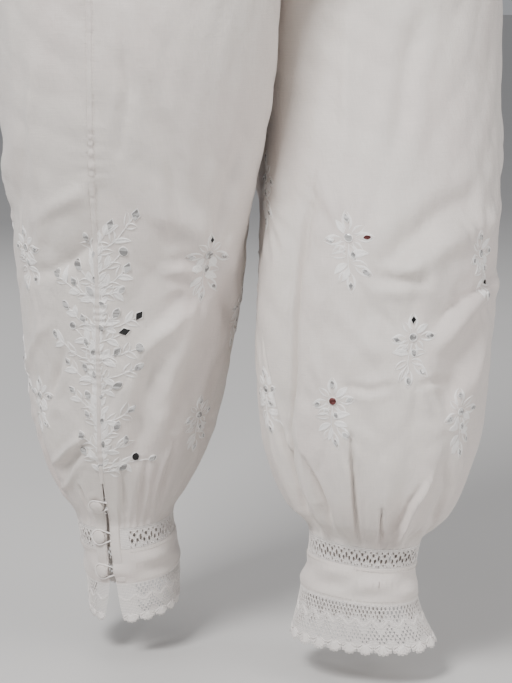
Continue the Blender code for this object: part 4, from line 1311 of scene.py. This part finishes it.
def hem_lace(name, side):
    """The wide crochet: clusters of small holes between solid arcs, then solid shells along its scallops."""
    random = np.random.default_rng(21 if side == RIGHT else 22)
    threads = Threads(side, band_skin)
    top = CUFF_DROP + LACE_SEAM
    node = f"{name}_edge_lace"

    def hem(way):
        return HEM_DROPS[side] + SCALLOP_DEPTH * np.abs(np.sin(math.pi * SCALLOPS * way)) ** 0.5

    sheet = lace_ground(node, side, (0.0, 1.0), top, hem, SCALLOPS, HEM_HOLES, threads)
    edges = ((top + EDGE_LINES, 0.0006), (top + 0.0014, 0.0005))
    beaded_lines(threads, (0.0, 1.0), 320, edges, 160, 0.18, -0.0005)
    pitch = 1.0 / SCALLOPS
    height = HEM_DROPS[side] + SCALLOP_DEPTH - top
    for k in range(SCALLOPS):
        middle = (k + 0.5) * pitch
        for spoke in range(-SPOKES, SPOKES + 1):
            lean = spoke * SPOKE_LEAN + random.normal(0, 0.02)
            t = np.linspace(0.15, 1, 5)
            ways = np.clip(middle + pitch * math.sin(lean) * 0.46 * t, 0.0, 1.0)
            reach = 0.22 * height * math.cos(lean) ** 0.6
            drops = top + 0.80 * height + reach * t + 0.0007 * (spoke % 2)
            band_line(threads, ways, np.minimum(drops, hem(ways) + 0.0004), -0.0001, 0.00055 + 0.0003 * t)
        arc = np.linspace(-0.48, 0.48, 13)
        ways = np.clip(middle + pitch * arc, 0.0, 1.0)
        for down in (0.385, 0.415):
            drops = top + height * (down + 0.06 * np.cos(2 * math.pi * arc))
            band_line(threads, ways, drops, -0.0004, 0.0005)
        ways = np.clip(middle + pitch * np.linspace(-0.47, 0.47, 17), 0.0, 1.0)
        band_line(threads, ways, hem(ways), -0.0003, 0.0008)
        turn = np.linspace(0, 2 * math.pi, 7)[:-1]
        for picot in range(-PICOTS, PICOTS + 1):
            way = np.clip(middle + pitch * PICOT_PITCH * picot, 0.001, 0.999)
            ways = way + 0.0012 / ANKLE_ROUND * np.sin(turn)
            drops = hem(way) + 0.0008 + 0.0010 * np.cos(turn)
            band_line(threads, ways, drops, -0.0002, 0.0005, 4, closed=True)
    threads.build(f"{node}_crochet", LACE, "white_lace")
    return sheet


# Fastenings

BUTTON_EDGE = 0.0016
BUTTON_STEPS = 40
BUTTON_TUCKS = 10
STRAND_OFFSET = 0.00044
STRAND_RADIUS = 0.00050
STRAND_PITCH = 0.0042


def button_cover(node, seat, axis, height):
    """A dome covered with cloth, which is drawn together under its edge."""
    first = unit(np.cross(axis, (0.0, 0.0, 1.0)))
    second = np.cross(axis, first)
    profile = []
    for angle in np.radians(np.arange(2, 90, 8)):
        rise = BUTTON_EDGE + (height - BUTTON_EDGE) * math.cos(angle)
        profile.append((BUTTON_RADIUS * math.sin(angle), rise))
    profile += [(BUTTON_RADIUS, 0.0014), (0.90 * BUTTON_RADIUS, 0.0006), (0.55 * BUTTON_RADIUS, 0.0002)]
    profile.append((0.0001, 0.0))
    turn = 2 * math.pi * np.arange(BUTTON_STEPS) / BUTTON_STEPS
    round_way = np.cos(turn)[:, None] * first + np.sin(turn)[:, None] * second
    vertices, uv = [], []
    for r, z in profile:
        pucker = 1 + 0.02 * np.cos(BUTTON_TUCKS * turn) * (1 if z < 0.002 else 0.0)
        vertices.append(seat + axis * z + (r * pucker)[:, None] * round_way)
        uv.append(np.stack([r * np.cos(turn), r * np.sin(turn) + z], axis=-1))
    faces = grid_faces(len(profile), BUTTON_STEPS, closed=True).tolist()
    vertices, uv = np.concatenate(vertices), np.concatenate(uv)
    finish_piece(f"{node}_cover", vertices, faces, uv, BUTTON, [node])


def button_loop(node, seat, axis, back_way, ends):
    """A loop of three twisted strands round the back of a button, its ends tucked in at the other edge."""
    back_way = unit(back_way - axis * (back_way @ axis))
    down_way = np.cross(axis, back_way)
    if down_way[2] > 0:
        down_way = -down_way
    reach = BUTTON_RADIUS + LOOP_RADIUS + STAND_OFF
    rise = LOOP_RADIUS + LOOP_REST
    angles = LOOP_WRAP * (np.linspace(0, 1, 13) - 0.5)
    arc = [seat + (back_way * math.cos(a) + down_way * math.sin(a)) * reach + axis * rise for a in angles]
    path, places = evenly(np.array([ends[0], *arc, ends[1]]), 60)
    path = smoothed(path, 3)
    tangent = unit(np.gradient(path, axis=0))
    across = unit(np.cross(tangent, axis))
    lifted = np.cross(across, tangent)
    bunch = Bunch()
    for strand in range(3):
        phase = 2 * math.pi * (places / STRAND_PITCH + strand / 3)[:, None]
        offset = STRAND_OFFSET * (np.cos(phase) * across + np.sin(phase) * lifted)
        tube(bunch, path + offset, np.broadcast_to(axis, path.shape), STRAND_RADIUS, 6)
    bunch.build(f"{node}_thread", LACE, "white_lace", [node])


def add_button(name, side, number, drop):
    """A covered button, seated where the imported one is, and the loop that holds it."""
    node = f"{name}_button_{number}"
    points = np.array([vertex.co[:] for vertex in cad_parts[node].data.vertices])
    centre = points.mean(axis=0)
    axis = np.linalg.eigh(np.cov((points - centre).T))[1][:, 0]
    slit = float(SLIT_AT[side](drop)) / 2
    seam, speed = seam_and_speed(side, drop)

    def beside(away, place, height):
        return raised(skin, side, seam + away / speed, place, height)

    outward = normal_of(skin, side, np.array(seam + (slit + BUTTON_RADIUS) / speed), np.array(drop))
    if axis @ outward < 0:
        axis = -axis
    along = (points - centre) @ axis
    seat = centre + axis * along.min()
    button_cover(node, seat, axis, along.max() - along.min())
    middle = slit + BUTTON_RADIUS
    reach = BUTTON_RADIUS + LOOP_RADIUS + STAND_OFF
    back_way = beside(middle + reach, drop, 0.0) - beside(middle, drop, 0.0)
    tuck = -(slit + LOOP_TUCK)
    ends = [beside(tuck, drop + way * LOOP_END_SPREAD, FACING_TOP - 0.0004) for way in (-1, 1)]
    button_loop(f"{name}_loop_{number}", seat, axis, back_way, ends)


# Waistband

BAND_ROWS, BAND_COLUMNS = 24, 480
BAND_STITCH_ROWS = (0.33, 0.67)
BAND_WALL = 0.0020


def waistband():
    """The casing over the elastic, with its small gathers and two sunken rows of stitching."""
    t = np.linspace(0, 1, BAND_ROWS + 1)[:, None]
    drop = -BAND_HALF_HEIGHT + 2 * BAND_HALF_HEIGHT * t
    angle = 2 * math.pi * np.arange(BAND_COLUMNS)[None, :] / BAND_COLUMNS
    sunken = sum(np.exp(-((t - row) / 0.03) ** 2) for row in BAND_STITCH_ROWS)
    puff = 0.0024 * np.sin(math.pi * t) ** 0.6 - 0.0007 * sunken
    gathers = 0.0011 * np.sin(angle * BAND_RIPPLES * 2 + 0.5 * np.sin(3 * angle))
    gathers = gathers + 0.0005 * np.sin(angle * 97 + 4 * t)

    def wall(grow):
        half_x, half_y = HIP["half_x"](drop) + grow, HIP["half_y"](drop) + grow
        return level(half_x * np.sin(angle), -half_y * np.cos(angle), -drop)

    points = np.concatenate([wall(puff + gathers)[::-1], wall(0.5 * gathers - BAND_WALL)])
    uv = (angle * 0.16, np.concatenate([drop[::-1], drop + 0.05]))
    return cloth_piece("waistband_casing", points, uv, ["waistband"], flip=True, closed=True)


# Seams and stitching

STRIP_ROWS, STRIP_COLUMNS = 420, 6
STRIP_TOP, STRIP_ROOT = 0.0017, 0.0003
STITCH_RADIUS = 0.00022
STITCH_LENGTH = 0.0026
STITCH_GAP = 0.0009
SEAM_STITCH_AWAY = 0.0036
SLIT_STITCH_AWAY = 0.0015
BAND_STITCH_DROPS = (INSERTION_DROP + 0.0018, CUFF_DROP - 0.0020)


def seam_strip(name, side):
    """The raised strip along the outer side seam, between its two rows of stitches."""
    drops = np.linspace(BAND_HALF_HEIGHT, SLIT_TOP_DROP + 0.004, STRIP_ROWS + 1)[:, None]
    t = np.linspace(-1, 1, STRIP_COLUMNS + 1)[None, :]
    seam, speed = seam_and_speed(side, drops)
    half_width = 0.0028 + 0.0003 * np.sin(drops * 90)
    shares = seam + t * half_width / speed
    drops = np.broadcast_to(drops, shares.shape)
    lift = STRIP_TOP * np.sqrt(np.clip(1 - np.abs(t) ** 3, 0, 1)) - STRIP_ROOT
    points = raised(cloth, side, shares, drops, lift)
    return cloth_piece(f"{name}_side_seam", points, (t * 0.003, drops), flip=side == RIGHT)


def stitch_row(threads, shares, drops, height):
    """Short stitches along a line on the cloth."""
    distance = way_along(threads.surface(threads.side, shares, drops))
    for k in range(int(distance[-1] / (STITCH_LENGTH + STITCH_GAP))):
        places = k * (STITCH_LENGTH + STITCH_GAP) + STITCH_LENGTH * np.array((0.0, 0.5, 1.0))
        lift = height + STITCH_RADIUS * np.array((-1.2, 0.9, -1.2))
        stitch_shares, stitch_drops = np.interp(places, distance, shares), np.interp(places, distance, drops)
        threads.line(stitch_shares, stitch_drops, lift, STITCH_RADIUS, 4)


def stitching(name, side):
    """All the sewing that shows on one leg."""
    bunch = Bunch()
    on_cloth = Threads(side, cloth)
    drops = np.linspace(BAND_HALF_HEIGHT + 0.004, SLIT_TOP_DROP, 900)
    seam, speed = seam_and_speed(side, drops)
    for way_out in (-1, 1):
        stitch_row(on_cloth, seam + way_out * SEAM_STITCH_AWAY / speed, drops, 0.0001)
    on_cloth.sweep(bunch)
    on_band = Threads(side, band_skin)
    ways = np.linspace(LINED_WAY, 1 - LINED_WAY, 700)
    for drop in BAND_STITCH_DROPS:
        drops = np.full(ways.shape, drop)
        stitch_row(on_band, band_share(side, ways, drops), drops, 0.0009)
    drops = np.linspace(SLIT_TOP_DROP + 0.004, CUFF_DROP - 0.001, 300)
    seam, speed = seam_and_speed(side, drops)
    away = SLIT_AT[side](drops) / 2 + SLIT_STITCH_AWAY
    for way_out in (-1, 1):
        stitch_row(on_band, seam + way_out * away / speed, drops, FACING_TOP + 0.0001)
    on_band.sweep(bunch)
    bunch.build(f"{name}_stitching", SEWING, "white_cloth")


# Embroidery

LEAF_LIFT = 0.0012
OUTLINE_SINK = 0.0009
STEM_STEP = 2.2
MIRROR_STAND = 0.0009
MIRROR_TILT = 0.14
MIRROR_BEVEL = 0.80
LEAF_ACROSS = np.array((-1.0, -0.9, -0.7, -0.4, 0.0, 0.4, 0.7, 0.9, 1.0))[None, :]
SPRAY_CENTRE_UP = 15.0
MIRROR_FORMS = {
    "diamond": [
        (0.0, 5.0), (1.6, 2.6), (3.2, 0.0), (1.6, -2.6), (0.0, -5.0), (-1.6, -2.6), (-3.2, 0.0), (-1.6, 2.6),
    ],
    "oval": [
        (0.0, 5.0), (1.7, 3.5), (2.7, 1.2), (2.7, -1.2), (1.7, -3.5),
        (0.0, -5.0), (-1.7, -3.5), (-2.7, -1.2), (-2.7, 1.2), (-1.7, 3.5),
    ],
    "round": [(3.8 * math.sin(a * math.pi / 6), 3.8 * math.cos(a * math.pi / 6)) for a in range(12)],
}


class Garden:
    """Embroidery on one leg: leaves, stems and mirrors, in millimetres round a point of the cloth."""

    def __init__(self, side):
        self.side = side
        self.leaves = []
        self.stems = Threads(side, cloth)
        self.mirrors = []

    def root(self, share, drop, lean=0.0, size=1.0):
        """A function from millimetres to the right and up, seen from outside, to shares and drops."""
        speed = float(ring_speed(self.side, share, drop))
        c, s = math.cos(math.radians(lean)), math.sin(math.radians(lean))

        def at(right, up):
            right, up = np.asarray(right, float) * size / 1000, np.asarray(up, float) * size / 1000
            across, rise = right * c + up * s, up * c - right * s
            return share + self.side * across / speed, drop - rise

        return at

    def leaf(self, at, x, y, turn, length, width, bend=0.0, outline=False):
        """A raised leaf from its root at x, y, turned from upright in degrees to the right."""
        t, v = np.linspace(0, 1, 9)[:, None], LEAF_ACROSS
        half = width / 2 * np.sin(math.pi * np.clip(t, 0.015, 0.985)) ** 0.75 * (1.15 - 0.3 * t)
        angle = math.radians(turn) + bend * (t - 0.5)
        along_x = np.cumsum(np.sin(angle) * length / 8, axis=0) - np.sin(angle[0]) * length / 8
        along_y = np.cumsum(np.cos(angle) * length / 8, axis=0) - np.cos(angle[0]) * length / 8
        rim = np.exp(-(((np.abs(v) - 0.74) / 0.20) ** 2)) * (np.abs(v) < 1)
        body = np.sqrt(np.clip(1 - v ** 2, 0, 1))
        height = LEAF_LIFT * (0.55 * rim + 0.45 * body - 0.12 * np.exp(-((v / 0.15) ** 2)))
        height = height * np.sin(math.pi * np.clip(t, 0.06, 0.94)) ** 0.4 - 0.0001
        if outline:
            height = height - OUTLINE_SINK * (np.abs(v) < 0.5)
        shares, drops = at(x + along_x + v * half * np.cos(angle), y + along_y - v * half * np.sin(angle))
        uv = np.stack(np.broadcast_arrays(v * width / 2000, t * length / 1000), axis=-1)
        self.leaves.append((shares, drops, height, uv))

    def stem(self, at, points, radius=0.00055):
        points = np.array(points, float)
        path, _ = evenly(points, max(int(way_along(points)[-1] / STEM_STEP), 4))
        shares, drops = at(*smoothed(path, 2).T)
        beads = radius * (1 + 0.2 * np.sin(np.arange(len(path)) * 2.4))
        self.stems.line(shares, drops, 0.0002, beads, 5, 0.9)

    def ring(self, at, x, y, radius):
        turn = np.linspace(0, 2 * math.pi, 11)[:-1]
        shares, drops = at(x + radius * np.cos(turn), y + radius * np.sin(turn))
        self.stems.line(shares, drops, 0.0003, 0.0006, 5, 0.9, closed=True)

    def mirror(self, at, x, y, form, turn=0.0, size=1.0, kind="bright"):
        self.mirrors.append((at, x, y, form, turn, size, kind))


def spray(garden, share, drop, lean, size, accent, random):
    """One scattered spray: a flower with mirrors, above a sprig of curved leaves."""
    root = garden.root(share, drop, lean, SPRAY_GAIN * size)

    def at(right, up):
        return root(right, np.asarray(up, float) + SPRAY_CENTRE_UP)

    kind, _, accented = accent.partition(" ")
    for leaf in rows_of(SPRAY_LEAF_COLUMNS, SPRAY_LEAVES):
        turn = leaf["turn"] + random.normal(0, 7)
        length = leaf["length"] * random.uniform(0.9, 1.1)
        bend = leaf["bend"] + random.normal(0, 0.15)
        outline = bool(leaf["mirror"]) or random.random() < 0.5
        garden.leaf(at, leaf["x"], leaf["y"], turn, length, leaf["width"], bend, outline)
        if leaf["mirror"]:
            angle = math.radians(turn)
            x, y = leaf["x"] + 0.60 * length * math.sin(angle), leaf["y"] + 0.60 * length * math.cos(angle)
            form = "diamond" if random.random() < 0.6 else "oval"
            this_kind = kind if leaf["mirror"] == accented else "bright"
            garden.mirror(at, x, y, form, turn + random.normal(0, 12), random.uniform(0.66, 0.80), this_kind)
    garden.mirror(at, 0, 0, "round", 0.0, 0.95, kind if accented == "centre" else "bright")
    garden.stem(at, SPRAY_STEM)
    garden.ring(at, *SPRAY_RING)


def branch(garden, side, random):
    """The tall branch above a slit: a stem with sprigs of leaves on both sides and mirrors at their tips."""
    low, high = BRANCH_DROPS

    def at(right, up):
        drop = low - np.asarray(up, float) / 1000
        seam, speed = seam_and_speed(side, drop)
        return seam + side * (np.asarray(right, float) / 1000) / speed, drop

    def sway(up):
        return 2.6 * math.sin(0.045 * up)

    stem_top = int((low - high) * 1000) - 40
    for offset, radius in ((0.0, 0.0009), (2.0, 0.0007), (-1.8, 0.0006)):
        garden.stem(at, [(sway(up) + offset, up) for up in range(0, stem_top, 6)], radius)
    for sprig in rows_of(SPRIG_COLUMNS, BRANCH_SPRIGS):
        tip_x, tip_y = sprig["reach"], sprig["up"]
        y0 = max(tip_y - sprig["rise"], 0)
        x0 = sway(y0)
        bend_x, bend_y = x0 + 0.55 * (tip_x - x0), y0 + 0.40 * (tip_y - y0)
        garden.stem(at, [(x0, y0), (bend_x, bend_y), (tip_x, tip_y)], 0.0006)
        lean = math.degrees(math.atan2(tip_x - x0, tip_y - y0))
        for i in range(sprig["pairs"]):
            t = (i + 0.35) / sprig["pairs"]
            x, y = x0 + (tip_x - x0) * t, y0 + (tip_y - y0) * t ** 1.3
            for out in (-1, 1):
                turn = lean + out * (34 + random.normal(0, 9))
                length, width = 14.5 + random.normal(0, 1.6), 7.0 + random.normal(0, 0.5)
                garden.leaf(at, x, y, turn, length, width, out * 0.6, random.random() < 0.65)
        turn = 0.6 * lean + random.normal(0, 14)
        kind = "dark" if "dark" in sprig["form"] else "bright"
        tip_x += math.copysign(2, tip_x)
        garden.mirror(at, tip_x, tip_y + 2, sprig["form"].split()[-1], turn, sprig["size"], kind)
    for up in range(3, stem_top, 8):
        x = sway(up)
        for out in (-1, 1):
            turn = out * 30 + random.normal(0, 8)
            garden.leaf(at, x + 1.2 * out, up + 2.5 * out, turn, 12.0, 5.6, out * 0.5)
        if up % 3 == 0:
            garden.mirror(at, x + random.normal(0, 2.5), up + 4.5, "oval", random.normal(0, 25), 0.75)


def mirror_plate(side, at, x, y, form, turn, size, random):
    """A bevelled plate with a slight tilt, and the outline that its rim of thread follows."""
    outline = np.array(MIRROR_FORMS[form]) * size
    c, s = math.cos(math.radians(turn)), math.sin(math.radians(turn))
    shares, drops = at(x + outline[:, 0] * c + outline[:, 1] * s, y - outline[:, 0] * s + outline[:, 1] * c)
    base = cloth(side, shares, drops)
    centre_share, centre_drop = at(x, y)
    centre = cloth(side, centre_share, centre_drop)
    normal = normal_of(skin, side, np.asarray(centre_share), np.asarray(centre_drop))
    tilt = random.normal(0, MIRROR_TILT, 3)
    lifted = unit(normal + tilt - normal * (tilt @ normal))
    highest = max(float(((base - centre) @ normal).max()), 0.0)
    plane = centre + normal * (highest + MIRROR_STAND)
    flat = base - lifted * ((base - plane) @ lifted)[:, None]
    edge = base + normal_of(skin, side, shares, drops) * 0.0002
    return np.stack([edge, flat - lifted * 0.00035, plane + (flat - plane) * MIRROR_BEVEL]), shares, drops


def embroider(name, side):
    """All the embroidery of one leg, as one mesh of thread and up to three of mirrors."""
    random = np.random.default_rng(31 if side == RIGHT else 32)
    garden = Garden(side)
    for place in rows_of(SPRAY_COLUMNS, PHOTO_SPRAYS):
        if place["side"] == side:
            share, drop = FIND[side](place["x"], place["y"])
            spray(garden, share, drop, place["lean"], place["size"], place["accent"], random)
    for place in rows_of(HIDDEN_SPRAY_COLUMNS, HIDDEN_SPRAYS):
        if place["side"] == side:
            spray(garden, place["share"], place["drop"], place["lean"], place["size"], "none", random)
    branch(garden, side, random)

    threads = Bunch()
    shares = np.concatenate([leaf[0].ravel() for leaf in garden.leaves])
    drops = np.concatenate([leaf[1].ravel() for leaf in garden.leaves])
    heights = np.concatenate([np.broadcast_to(leaf[2], leaf[0].shape).ravel() for leaf in garden.leaves])
    points = raised(cloth, side, shares, drops, heights)
    start = 0
    for leaf in garden.leaves:
        rows, columns = leaf[0].shape
        end = start + rows * columns
        threads.add(points[start:end], grid_faces(rows, columns, flip=True), leaf[3])
        start = end
    garden.stems.sweep(threads)
    rims = Threads(side, cloth)
    plates = {kind: Bunch() for kind in MIRRORS}
    for at, x, y, form, turn, size, kind in garden.mirrors:
        rings, shares, drops = mirror_plate(side, at, x, y, form, turn, size, random)
        count = len(shares)
        first = plates[kind].count
        uv = np.stack([rings[..., 0] + rings[..., 1], rings[..., 2]], axis=-1)
        plates[kind].add(rings, grid_faces(3, count, closed=True), uv)
        plates[kind].polygon([2 * count + i for i in range(count)][::-1], first)
        rims.line(shares, drops, 0.0005, 0.00060, 5, closed=True)
    rims.sweep(threads)
    threads.build(f"{name}_embroidery", SATIN, "white_lace")
    for kind, bunch in plates.items():
        if bunch.count:
            bunch.build(f"{name}_{kind}_mirrors", MIRRORS[kind], None, smooth=False)


# The whole garment

for leg_name, leg_side in SIDES.items():
    for leg_part in ("front", "back"):
        panel_sheet = leg_panel(leg_name, leg_side, leg_part)
        facing(leg_name, leg_side, leg_part)
        lace, *lace_flat = insertion(leg_name, leg_side, leg_part)
    band = cuff(leg_name, leg_side)
    lace, *lace_flat = hem_lace(leg_name, leg_side)
    seam_strip(leg_name, leg_side)
    stitching(leg_name, leg_side)
    for index, button_drop in enumerate(BUTTON_DROPS, 1):
        add_button(leg_name, leg_side, index, button_drop)
    embroider(leg_name, leg_side)
casing = waistband()


# Stage, light and camera

FLOOR_RADIUS = 40
FLOOR_STEPS = 64
WORLD_COLOUR = (0.80, 0.82, 0.86, 1)
WORLD_STRENGTH = 0.42
LIGHT_TARGET = (0, 0, -0.6)
LIGHT_COLUMNS = ("name", "place", "width", "power", "colour")
LIGHTS = (
    ("key", (-1.9, -1.1, 1.5), 1.0, 112, (1, 1, 1)),
    ("fill", (1.6, -2.6, 0.2), 1.4, 47, (1.0, 0.98, 0.96)),
    ("back", (0.6, 2.6, 1.0), 1.6, 24, (1, 1, 1)),
)


def area_light(name, place, width, power, colour):
    """A square light that looks at the garment."""
    light = bpy.data.lights.new(name, "AREA")
    light.shape = "RECTANGLE"
    light.size, light.size_y = width, width
    light.energy = power
    light.color = colour
    lamp = add_object(name, light)
    lamp.location = place
    lamp.rotation_mode = "QUATERNION"
    lamp.rotation_quaternion = (Vector(LIGHT_TARGET) - Vector(place)).to_track_quat("-Z", "Y")


def add_floor():
    material, nodes, links, shader = new_material("floor", FLOOR_COLOUR, 0.85, specular=0.2)
    coordinates = nodes.new("ShaderNodeTexCoord").outputs["Object"]
    uneven = noise(nodes, links, coordinates, 3.0)
    lighter = tuple(min(1.05 * part, 1) for part in FLOOR_COLOUR)
    links.new(mix_colours(nodes, links, uneven, FLOOR_COLOUR, lighter), shader.inputs["Base Color"])
    vertices = [(0, 0, FLOOR_Z)]
    for i in range(FLOOR_STEPS):
        turn = 2 * math.pi * i / FLOOR_STEPS
        vertices.append((FLOOR_RADIUS * math.cos(turn), FLOOR_RADIUS * math.sin(turn), FLOOR_Z))
    faces = [(0, 1 + i, 1 + (i + 1) % FLOOR_STEPS) for i in range(FLOOR_STEPS)]
    mesh = bpy.data.meshes.new("floor")
    mesh.from_pydata(vertices, [], faces)
    mesh.materials.append(material)
    add_object("floor", mesh)


def add_world():
    world = bpy.data.worlds.new("studio")
    world.use_nodes = True
    background = world.node_tree.nodes["Background"]
    background.inputs["Color"].default_value = WORLD_COLOUR
    background.inputs["Strength"].default_value = WORLD_STRENGTH
    bpy.context.scene.world = world


def add_camera():
    backward, target = camera_axes()[2:]
    camera = bpy.data.cameras.new("camera")
    camera.lens = LENS
    camera.sensor_width = SENSOR
    camera.sensor_fit = "AUTO"
    camera.clip_end = 100
    holder = add_object("camera", camera)
    holder.location = target + backward * DISTANCE
    holder.rotation_mode = "QUATERNION"
    holder.rotation_quaternion = Vector(-backward).to_track_quat("-Z", "Y")
    bpy.context.scene.camera = holder


add_floor()
add_world()
for lamp_row in rows_of(LIGHT_COLUMNS, LIGHTS):
    area_light(**lamp_row)
add_camera()
